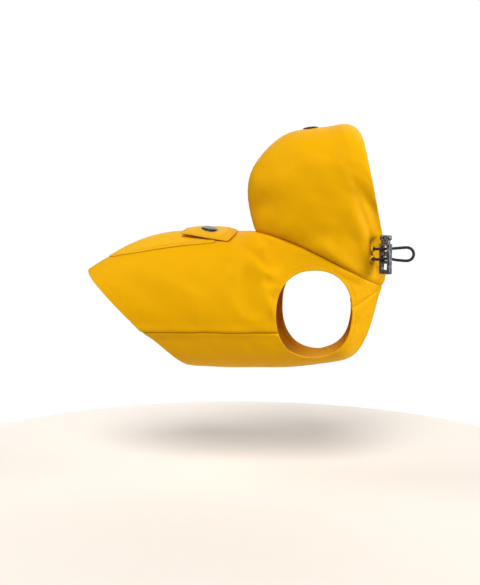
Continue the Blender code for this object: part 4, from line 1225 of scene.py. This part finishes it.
def cloth_finish(name, colour, deep, sheen, weave, sizes):
    """Coated cloth. Its threads cross in a plain weave: where the product of two sines of the flat
    lengths is above zero the warp thread lies on top, and elsewhere the weft. The coating evens
    it out, so the weave shows mostly in the gloss. Seams and grooves are painted deeper in colour
    as shade, the bottom of a seam's valley is painted dark as shade, and slow noise makes the dye
    a little uneven."""
    made = Finish(name, Specular_IOR_Level=0.05, Specular_Tint=(1.0, 0.66, 0.12, 1.0),
                  Sheen_Weight=sheen, Sheen_Roughness=0.45, Sheen_Tint=(1.0, 0.7, 0.2, 1.0))
    length, around = made.flat_lengths()
    pitch = HALF_TURN / sizes.weave_pitch
    warp, weft = (length * pitch).sine(), (around * pitch).sine()
    over = (warp * weft).above(0.0)
    threads = over * warp.size() + (1 - over) * weft.size()
    slow = made.noise(9.0, detail=2.0)
    mottle = made.noise(60.0, detail=4.0, roughness=0.55)
    flat = made.node("CombineXYZ", {0: length, 1: around})
    streaks = made.streaks((700.0, 55.0, 1.0), where=flat)
    # The seam attribute is painted shade: seams and grooves are mixed towards the deep colour.
    seam = made.node("Attribute", output="Fac", attribute_name="seam")
    tone = ((slow - 0.5) * 0.55 + (mottle - 0.5) * 0.25 + (streaks - 0.5) * 0.12 + 0.25
            + seam * 0.42 + (1 - threads) * 0.05)
    dyed = made.mixed(tone.clipped(), colour, deep)
    # Painted shade: where the seam attribute is high, the colour is mixed to a darker copy of the deep
    # colour.
    made.drive(
        Base_Color=made.mixed(((seam - 0.6) * 2.5).clipped(), dyed, scaled(deep, SEAM_PAINTED_SHADE)),
        Roughness=0.40 + mottle * 0.10 + (1 - threads) * 0.06 + seam * 0.12,
    )
    crinkle = made.noise(420.0, detail=2.0, roughness=0.6)
    normal = made.bump(crinkle, 0.00012, 0.35)
    made.drive(Normal=made.bump(threads, 0.00006 * weave, 0.6, normal))
    return made.material


def thread_finish(colour):
    """Polyester thread: a tight twist that shows as fine dark bands."""
    made = Finish("thread", Sheen_Weight=0.2, Specular_IOR_Level=0.35)
    twist = made.noise(2600.0, detail=1.0)
    made.drive(Base_Color=made.mixed(twist, colour, scaled(colour, 0.72)),
               Roughness=0.5 + 0.2 * twist, Normal=made.bump(twist, 0.00008, 0.5))
    return made.material


def cap_finish(colour):
    """Moulded gloss plastic with hairline scuffs."""
    made = Finish("stud_plastic", Specular_IOR_Level=0.5, Coat_Weight=0.35, Coat_Roughness=0.12)
    dust = made.noise(900.0, detail=4.0, roughness=0.7)
    scuffs = made.streaks((2200.0, 130.0, 400.0), 2.0, turn=(0.2, 0.1, 0.6))
    share = (scuffs * dust * 0.9).clipped()
    made.drive(Base_Color=made.mixed(share, colour, scaled(colour, 2.2, 0.004)),
               Roughness=0.16 + 0.16 * dust + 0.10 * scuffs, Normal=made.bump(scuffs, 0.00002, 0.5))
    return made.material


def enamel_finish(colour, deep):
    """Enamel in the cloth's colour on a metal eyelet, a little deeper where it pools."""
    made = Finish("eyelet_enamel", Specular_IOR_Level=0.4)
    cloud = made.noise(700.0, detail=2.0)
    made.drive(Base_Color=made.mixed(cloud, colour, deep), Roughness=0.26 + 0.16 * cloud,
               Normal=made.bump(cloud, 0.00003, 0.4))
    return made.material


def metal_finish(name, colour, bright, roughness):
    """Gunmetal plating: fine lengthwise brushing, and patches of brighter metal that are painted
    glints.
    """
    made = Finish(name, Specular_IOR_Level=0.5)
    brushed = made.streaks((3400.0, 3400.0, 260.0))
    glint_noise = made.noise(320.0, detail=4.0, roughness=0.65)
    # Painted glints: noise patches are mixed towards the bright colour, along with the brushing's
    # grain.
    share = ((glint_noise - 0.52) * 6.0).clipped() * 0.8 + (brushed - 0.5) * 0.4
    made.drive(Base_Color=made.mixed(share.clipped(), colour, bright), Metallic=1.0,
               Roughness=roughness + 0.14 * brushed + 0.08 * glint_noise,
               Normal=made.bump(brushed, 0.00003, 0.5))
    return made.material


def cord_finish(colour, highlight, sizes):
    """Braided cord: strands cross in diamonds, which two sines of the sum and the difference of the
    lengths along and round the cord make."""
    made = Finish("cord_braid", Specular_IOR_Level=0.3, Sheen_Weight=0.12, Sheen_Roughness=0.5)
    length, around = made.flat_lengths()
    pitch = TURN / sizes.braid
    first = ((length + around) * pitch).sine().size()
    second = ((length - around) * pitch).sine().size()
    height = (first * second) ** 0.6
    fibres = made.noise(5000.0, detail=2.0)
    # Painted highlight: the raised strands are mixed towards the lighter colour.
    share = (height * 0.7 * fibres).clipped()
    made.drive(Base_Color=made.mixed(share, colour, highlight),
               Roughness=0.55 + 0.25 * (1 - height), Normal=made.bump(height, 0.00035, 0.8))
    return made.material


def floor_finish(colour):
    """Smooth pale paint."""
    made = Finish("floor_paint", Specular_IOR_Level=0.2)
    grain = made.noise(40.0)
    made.drive(Base_Color=made.mixed(grain, colour, scaled(colour, 1.02)),
               Roughness=0.6 + 0.1 * grain)
    return made.material


# ---------------------------------------------------------------------------------------------
# Sizes and colours
# ---------------------------------------------------------------------------------------------


def length_property(name, description, millimetres):
    return FloatProperty(name=name, description=description, default=millimetres * MM, min=0.0,
                         subtype="DISTANCE", unit="LENGTH", precision=5)


def colour_property(name, description, colour):
    return FloatVectorProperty(name=name, description=description, default=colour, size=3,
                               subtype="COLOR", min=0.0, max=1.0)


class RaincoatSizes(bpy.types.PropertyGroup):
    """Sizes of the cloth and its sewing"""

    cloth: length_property("Cloth", "Thickness of one layer of the coat's cloth", 0.8)
    pocket_cloth: length_property("Pocket cloth", "Thickness of the pocket", 0.7)
    flap_cloth: length_property("Flap cloth", "Thickness of the flap, which has two layers", 1.15)
    hem: length_property("Hem", "Depth of the hem round the rear", 9.0)
    armhole_hem: length_property("Armhole hem", "Depth of the hem round an armhole", 4.6)
    mouth_hem: length_property("Pocket mouth hem", "Depth of the hem at the pocket's mouth", 7.0)
    edge_stitch: length_property("Edge stitching", "From an edge to its topstitching", 2.2)
    pucker: length_property("Pucker", "Height of the small ripples beside a row of stitches", 0.09)
    unevenness: length_property("Unevenness", "Height of the slow waves all over the cloth", 0.17)
    neck_roll: length_property("Neck roll", "How far the hood rolls out over the neck seam", 2.0)
    roll_reach: length_property("Neck roll reach", "From the neck seam to the roll's crest", 7.0)
    stitch: length_property("Stitch", "Length of one stitch and the gap after it", 3.0)
    stitch_gap: length_property("Stitch gap", "Gap between two stitches", 0.7)
    thread: length_property("Thread", "Radius of the sewing thread", 0.17)
    weave_pitch: length_property("Weave", "Distance between two threads of the cloth", 0.55)
    braid: length_property("Braid", "Length of one diamond of the cord's braid", 2.6)


class RaincoatColours(bpy.types.PropertyGroup):
    """Colours of the cloth and trims, in linear light"""

    cloth: colour_property("Cloth", "Colour of the coat", (0.755, 0.383, 0.0025))
    # The deep colours carry the painted shade of seams and grooves, and the dye's slow unevenness.
    cloth_deep: colour_property("Deep cloth", "Colour of the coat in its seams", (0.69, 0.315, 0.0010))
    # The pocket's two colours are lighter, whiter copies of the coat's: painted sheen and top light.
    pocket: colour_property("Pocket", "Colour of the pocket and flap", (0.79, 0.43, 0.012))
    pocket_deep: colour_property("Deep pocket", "The pocket's, in its seams", (0.73, 0.35, 0.008))
    inside: colour_property("Inside", "Colour of the coated inside", (0.80, 0.40, 0.03))
    inside_deep: colour_property("Deep inside", "The inside's, in its seams", (0.68, 0.30, 0.015))
    thread: colour_property("Thread", "Colour of the sewing thread", (0.78, 0.36, 0.008))
    cap: colour_property("Caps", "Colour of the press stud caps", (0.010, 0.010, 0.012))
    cord: colour_property("Cord", "Colour of the drawcord", (0.006, 0.006, 0.007))
    # Painted highlight: the cord's colour on its raised strands.
    cord_highlight: colour_property("Cord light", "The cord's, where strands rise", (0.03, 0.03, 0.033))
    metal: colour_property("Cord lock", "Colour of the cord lock's plating", (0.10, 0.103, 0.108))
    # Painted glints: the bright colour of the lock's patches.
    metal_glint: colour_property("Worn metal", "The lock's, where it is worn", (0.72, 0.72, 0.73))
    floor: colour_property("Floor", "Colour of the floor", (0.78, 0.725, 0.66))


# ---------------------------------------------------------------------------------------------
# Stage
# ---------------------------------------------------------------------------------------------

VIEW_AZIMUTH = math.radians(5.5)
VIEW_ELEVATION = math.radians(5)
VIEW_DISTANCE = 1.0
VIEW_TARGET = Vector((0.005, 0.0, -0.0599))
SENSOR = 36.0
PICTURE_HEIGHT_AT_TARGET = 0.585
FLOOR_HEIGHT = -0.242
FLOOR_RADIUS, FLOOR_SIDES = 0.36, 96
# A lamp is a far, broad light: where it shines from, its strength and its apparent size.
Lamp = namedtuple("Lamp", "name shines_from strength angle")
LAMPS = (
    Lamp("front_light", (1.0, 0.0, 0.2), 3.5, 30),
    Lamp("near_light", (0.0, -0.7, 0.7), 2.85, 30),
    Lamp("rear_light", (-0.7, 0.0, 0.7), 0.7, 35),
    Lamp("rear_near_light", (-0.75, -0.55, 0.35), 0.8, 35),
    Lamp("far_light", (0.1, 1.0, 0.5), 1.0, 60),
)
SKY_LIGHT = 0.04


class RAINCOAT_OT_stage(bpy.types.Operator):
    """Make the camera, the lights, the sky and the floor"""

    bl_idname = "raincoat.stage"
    bl_label = "Stage"

    def execute(self, context):
        scene = context.scene
        scene.view_settings.view_transform = "Standard"
        self.add_camera(scene)
        for lamp in LAMPS:
            self.add_lamp(lamp)
        self.add_sky(scene)
        turn = np.arange(FLOOR_SIDES) * TURN / FLOOR_SIDES
        rim = np.stack([np.cos(turn), np.sin(turn), np.zeros(FLOOR_SIDES)], -1) * FLOOR_RADIUS / MM
        rim[:, 2] = FLOOR_HEIGHT / MM
        paint = floor_finish(scene.raincoat_colours.floor)
        mesh_object("floor", rim, [list(range(FLOOR_SIDES))], [paint])
        return {"FINISHED"}

    def add_camera(self, scene):
        """A camera that looks at the target from the view's azimuth, counted from -Y towards -X,
        and elevation, whose picture is a set height at the target."""
        level = math.cos(VIEW_ELEVATION)
        ahead = Vector((-math.sin(VIEW_AZIMUTH) * level, math.cos(VIEW_AZIMUTH) * level,
                        -math.sin(VIEW_ELEVATION)))
        data = bpy.data.cameras.new("camera")
        data.sensor_fit = "VERTICAL"
        data.sensor_height = SENSOR
        data.lens = SENSOR * VIEW_DISTANCE / PICTURE_HEIGHT_AT_TARGET
        data.clip_start = 0.02
        camera = bpy.data.objects.new("camera", data)
        camera.location = VIEW_TARGET - ahead * VIEW_DISTANCE
        camera.rotation_euler = ahead.to_track_quat("-Z", "Y").to_euler()
        bpy.context.collection.objects.link(camera)
        scene.camera = camera

    def add_lamp(self, lamp):
        data = bpy.data.lights.new(lamp.name, "SUN")
        data.energy = lamp.strength
        data.angle = math.radians(lamp.angle)
        thing = bpy.data.objects.new(lamp.name, data)
        thing.rotation_euler = Vector(lamp.shines_from).to_track_quat("Z", "Y").to_euler()
        bpy.context.collection.objects.link(thing)

    def add_sky(self, scene):
        """A white surround that the camera sees at full white and that lights the coat less."""
        world = bpy.data.worlds.new("sky")
        scene.world = world
        world.use_nodes = True
        nodes, links = world.node_tree.nodes, world.node_tree.links
        nodes["Background"].inputs["Strength"].default_value = SKY_LIGHT
        nodes["Background"].inputs["Color"].default_value = (1, 1, 1, 1)
        seen = nodes.new("ShaderNodeBackground")
        seen.inputs["Color"].default_value = (1, 1, 1, 1)
        path = nodes.new("ShaderNodeLightPath")
        mix = nodes.new("ShaderNodeMixShader")
        links.new(path.outputs["Is Camera Ray"], mix.inputs[0])
        links.new(nodes["Background"].outputs[0], mix.inputs[1])
        links.new(seen.outputs[0], mix.inputs[2])
        links.new(mix.outputs[0], nodes["World Output"].inputs["Surface"])


# ---------------------------------------------------------------------------------------------
# The coat's pieces
# ---------------------------------------------------------------------------------------------


def material_once(name, make):
    """The named material, made the first time it is asked for."""
    return bpy.data.materials.get(name) or make()


def coat_materials(scene):
    colours, sizes = scene.raincoat_colours, scene.raincoat_sizes
    outside = material_once("coat_satin", lambda: cloth_finish(
        "coat_satin", colours.cloth, colours.cloth_deep, 0.06, 1.0, sizes))
    inside = material_once("coat_inside", lambda: cloth_finish(
        "coat_inside", colours.inside, colours.inside_deep, 0.05, 0.5, sizes))
    return [outside, inside]


def pocket_materials(scene):
    colours, sizes = scene.raincoat_colours, scene.raincoat_sizes
    # A lighter, whiter copy of the coat's satin, with painted sheen and top light.
    outside = material_once("pocket_lit_satin", lambda: cloth_finish(
        "pocket_lit_satin", colours.pocket, colours.pocket_deep, 0.10, 1.2, sizes))
    return [outside, outside]


def put_on(thing, node):
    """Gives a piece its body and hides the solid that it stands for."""
    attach(thing, "coat")
    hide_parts(node)
    return thing


def eyelet_seat(height):
    """Where the cord leaves the hood on its right side, a little way out of the cloth."""
    place = locate(HOOD_RINGS, [(EYELET_X, height)])
    points, normals = surface(HOOD_RINGS, *place.T)
    relief = fold_height(points, HOOD_FOLDS["right"]) + TUNNEL_RISE * (place[:, 0] > TUNNEL_RING)
    return (points + normals * relief[:, None] + CORD_START * normals)[0]


def cord_route():
    """The route's own points: x, y, z. Each strand bends round beside the lock's near left corner,
    and the loop bends back at its tip."""

    def strand_bend(degrees, height):
        turn = math.radians(degrees)
        return (STRAND_BEND_X + STRAND_BEND_RADIUS * math.cos(turn),
                STRAND_BEND_Y + STRAND_BEND_RADIUS * math.sin(turn), height)

    def loop_bend(degrees):
        turn = math.radians(degrees)
        return (LOOP_BEND_X + LOOP_BEND_RADIUS * math.cos(turn), LOOP_Y,
                LOOP_BEND_Z + LOOP_BEND_RADIUS * math.sin(turn))

    middle = [
        strand_bend(-115, -14.1),
        strand_bend(-86, -14.2),
        strand_bend(-58, -14.2),
        (LOCK_X, LOCK_Y, -14.2),
        (150.2, -32.1, -14.2),
        (153.5, -30.3, -14.0),
        (157.0, -29.2, -13.8),
        (160.7, -28.6, -13.5),
        (164.2, -28.4, -13.2),
        *(loop_bend(degrees) for degrees in range(90, -91, -30)),
        (164.2, -28.4, -25.6),
        (160.7, -28.6, -25.3),
        (157.0, -29.2, -24.9),
        (153.5, -30.3, -24.2),
        (150.2, -32.1, -23.7),
        (LOCK_X, LOCK_Y, -23.5),
        strand_bend(-58, -23.6),
        strand_bend(-86, -23.9),
        (137.9, -37.45, -24.1),
        (135.8, -35.9, -23.9),
    ]
    upper, lower = (eyelet_seat(height) for height in HOLE_HEIGHTS)
    return np.array([upper, *middle, lower], float)


class RAINCOAT_OT_drawcord(bpy.types.Operator):
    """Make the drawcord's loop"""

    bl_idname = "raincoat.drawcord"
    bl_label = "Drawcord"

    def execute(self, context):
        colours, sizes = context.scene.raincoat_colours, context.scene.raincoat_sizes
        route = cord_route()
        fine = smooth_rows(route, np.linspace(0, len(route) - 1, CORD_FINE_STATIONS))
        length = lengths_along(fine)
        path = read_at(np.linspace(0, length[-1], CORD_STATIONS), length, fine)
        finish = cord_finish(colours.cord, colours.cord_highlight, sizes)
        cord = put_on(tube_along("drawcord_loop", path, CORD_RADIUS, finish), "drawcord")
        return {"FINISHED"}


class RAINCOAT_OT_back_panel(bpy.types.Operator):
    """Make the back panel and its stitching"""

    bl_idname = "raincoat.back_panel"
    bl_label = "Back panel"

    def execute(self, context):
        scene = context.scene
        right, right_rows, nape = back_half("right", scene.raincoat_sizes)
        left, left_rows, _ = back_half("left", scene.raincoat_sizes)
        shared = np.s_[: nape + 1, 0]
        cloth = cloth_object("back_cloth", [right, left], shared, coat_materials(scene))
        put_on(cloth, "back_panel")
        hem = np.concatenate([left_rows[0][:, ::-1], right_rows[0][:, 1:]], 1)
        stitches(scene, "back_hem_stitches", [hem])
        stitches(scene, "back_armhole_stitches", [right_rows[1], left_rows[1]])
        return {"FINISHED"}


class RAINCOAT_OT_chest_panel(bpy.types.Operator):
    """Make the chest panel and its stitching"""

    bl_idname = "raincoat.chest_panel"
    bl_label = "Chest panel"

    def execute(self, context):
        scene = context.scene
        right, right_rows = chest_half("right", scene.raincoat_sizes)
        left, left_rows = chest_half("left", scene.raincoat_sizes)
        cloth = cloth_object("chest_cloth", [right, left], np.s_[:, -1], coat_materials(scene))
        put_on(cloth, "chest_panel")
        hem = np.concatenate([right_rows[0], left_rows[0][:, -2::-1]], 1)
        stitches(scene, "chest_hem_stitches", [hem])
        stitches(scene, "chest_armhole_stitches", [right_rows[1], left_rows[1]])
        return {"FINISHED"}


class RAINCOAT_OT_hood(bpy.types.Operator):
    """Make both halves of the hood and the tunnel's stitching"""

    bl_idname = "raincoat.hood"
    bl_label = "Hood"

    def execute(self, context):
        scene = context.scene
        for side in ("right", "left"):
            half, rows = hood_half(side, scene.raincoat_sizes)
            cloth = cloth_object(f"hood_{side}_cloth", [half], None, coat_materials(scene),
                                 turn_first=side == "left")
            put_on(cloth, f"hood_{side}")
            stitches(scene, f"hood_{side}_stitches", rows)
        return {"FINISHED"}


class RAINCOAT_OT_pocket(bpy.types.Operator):
    """Make the pocket and its stitching"""

    bl_idname = "raincoat.pocket"
    bl_label = "Pocket"

    def execute(self, context):
        scene = context.scene
        sheet, rows = pocket_sheet(scene.raincoat_sizes)
        cloth = cloth_object("pocket_cloth", [sheet], None, pocket_materials(scene), turn_first=True)
        put_on(cloth, "pocket")
        stitches(scene, "pocket_stitches", rows)
        return {"FINISHED"}


class RAINCOAT_OT_flap(bpy.types.Operator):
    """Make the pocket's flap and its stitching"""

    bl_idname = "raincoat.flap"
    bl_label = "Flap"

    def execute(self, context):
        scene = context.scene
        sheet, rows = flap_sheet(scene.raincoat_sizes)
        cloth = cloth_object("flap_cloth", [sheet], None, pocket_materials(scene), turn_first=True)
        put_on(cloth, "pocket_flap")
        stitches(scene, "flap_stitches", rows)
        return {"FINISHED"}


CAP_HEIGHT = 1.8
CAP_SHAPE = ((0, 1.0), (0.3, 0.985), (0.6, 0.9), (0.82, 0.72), (0.95, 0.42), (1.0, 0.2),
             (0.985, 0.04), (0.9, 0))
FLAP_CAP_RADIUS = 8.2
HOOD_CAP_RADIUS, HOOD_CAP_X = 7.7, 74.5
DOME_STATIONS, CROWN_STATIONS = 40, 2000
CAP_GAP = 0.3
NAPE_END_RING = 3.3


def cap_profile(radius):
    """From the middle of the dome, over its edge and back under it to the axis."""
    shape = np.array(CAP_SHAPE) * (radius, CAP_HEIGHT)
    dome = smooth_rows(shape, np.linspace(0, len(shape) - 1, DOME_STATIONS))
    dome[0, 0] = 0
    return np.concatenate([dome, [(radius * 0.5, 0.0), (0.0, 0.0)]])


class RAINCOAT_OT_studs(bpy.types.Operator):
    """Make the press stud caps on the flap and the hood"""

    bl_idname = "raincoat.studs"
    bl_label = "Press studs"

    def execute(self, context):
        finish = cap_finish(context.scene.raincoat_colours.cap)
        numbers = np.linspace(NAPE_END_RING, LAST_RING, CROWN_STATIONS)
        crown = tube_points(HOOD_RINGS, numbers, 0.0)
        number = numbers[np.abs(crown[:, 0] - HOOD_CAP_X).argmin()]
        for name, node, (point, out), radius in (
            ("flap_stud", "flap_cap", flap_cap_seat(), FLAP_CAP_RADIUS),
            ("hood_stud", "hood_cap", surface(HOOD_RINGS, number, 0.0), HOOD_CAP_RADIUS),
        ):
            stud = turned(name, cap_profile(radius), point + CAP_GAP * out, out, finish)
            put_on(stud, node)
        return {"FINISHED"}


class RAINCOAT_OT_metalwork(bpy.types.Operator):
    """Finish the cord lock and the eyelets"""

    bl_idname = "raincoat.metalwork"
    bl_label = "Cord lock and eyelets"

    def execute(self, context):
        colours = context.scene.raincoat_colours
        plating = metal_finish("lock_plating", colours.metal, colours.metal_glint, 0.26)
        enamel = enamel_finish(colours.cloth, colours.cloth_deep)
        for node, finish in (("lock_barrel", plating), ("lock_plunger", plating),
                             ("eyelet_upper", enamel), ("eyelet_lower", enamel)):
            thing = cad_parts[node]
            thing.data.materials.clear()
            thing.data.materials.append(finish)
        return {"FINISHED"}


class RAINCOAT_PT_sidebar(bpy.types.Panel):
    """The raincoat's steps, sizes and colours"""

    bl_idname = "RAINCOAT_PT_sidebar"
    bl_label = "Raincoat"
    bl_space_type = "VIEW_3D"
    bl_region_type = "UI"
    bl_category = "Raincoat"

    def draw(self, context):
        for operator in OPERATORS:
            self.layout.operator(operator.bl_idname)
        for group in (context.scene.raincoat_sizes, context.scene.raincoat_colours):
            column = self.layout.column()
            for name in group.__annotations__:
                column.prop(group, name)


OPERATORS = (
    RAINCOAT_OT_stage,
    RAINCOAT_OT_drawcord,
    RAINCOAT_OT_back_panel,
    RAINCOAT_OT_chest_panel,
    RAINCOAT_OT_hood,
    RAINCOAT_OT_pocket,
    RAINCOAT_OT_flap,
    RAINCOAT_OT_studs,
    RAINCOAT_OT_metalwork,
)
CLASSES = (RaincoatSizes, RaincoatColours, *OPERATORS, RAINCOAT_PT_sidebar)


def register():
    for part in CLASSES:
        bpy.utils.register_class(part)
    bpy.types.Scene.raincoat_sizes = PointerProperty(type=RaincoatSizes)
    bpy.types.Scene.raincoat_colours = PointerProperty(type=RaincoatColours)


def unregister():
    del bpy.types.Scene.raincoat_colours
    del bpy.types.Scene.raincoat_sizes
    for part in reversed(CLASSES):
        bpy.utils.unregister_class(part)


def main():
    register()
    bpy.ops.raincoat.stage()
    bpy.ops.raincoat.drawcord()
    bpy.ops.raincoat.back_panel()
    bpy.ops.raincoat.chest_panel()
    bpy.ops.raincoat.hood()
    bpy.ops.raincoat.pocket()
    bpy.ops.raincoat.flap()
    bpy.ops.raincoat.studs()
    bpy.ops.raincoat.metalwork()


if __name__ == "__main__":
    main()
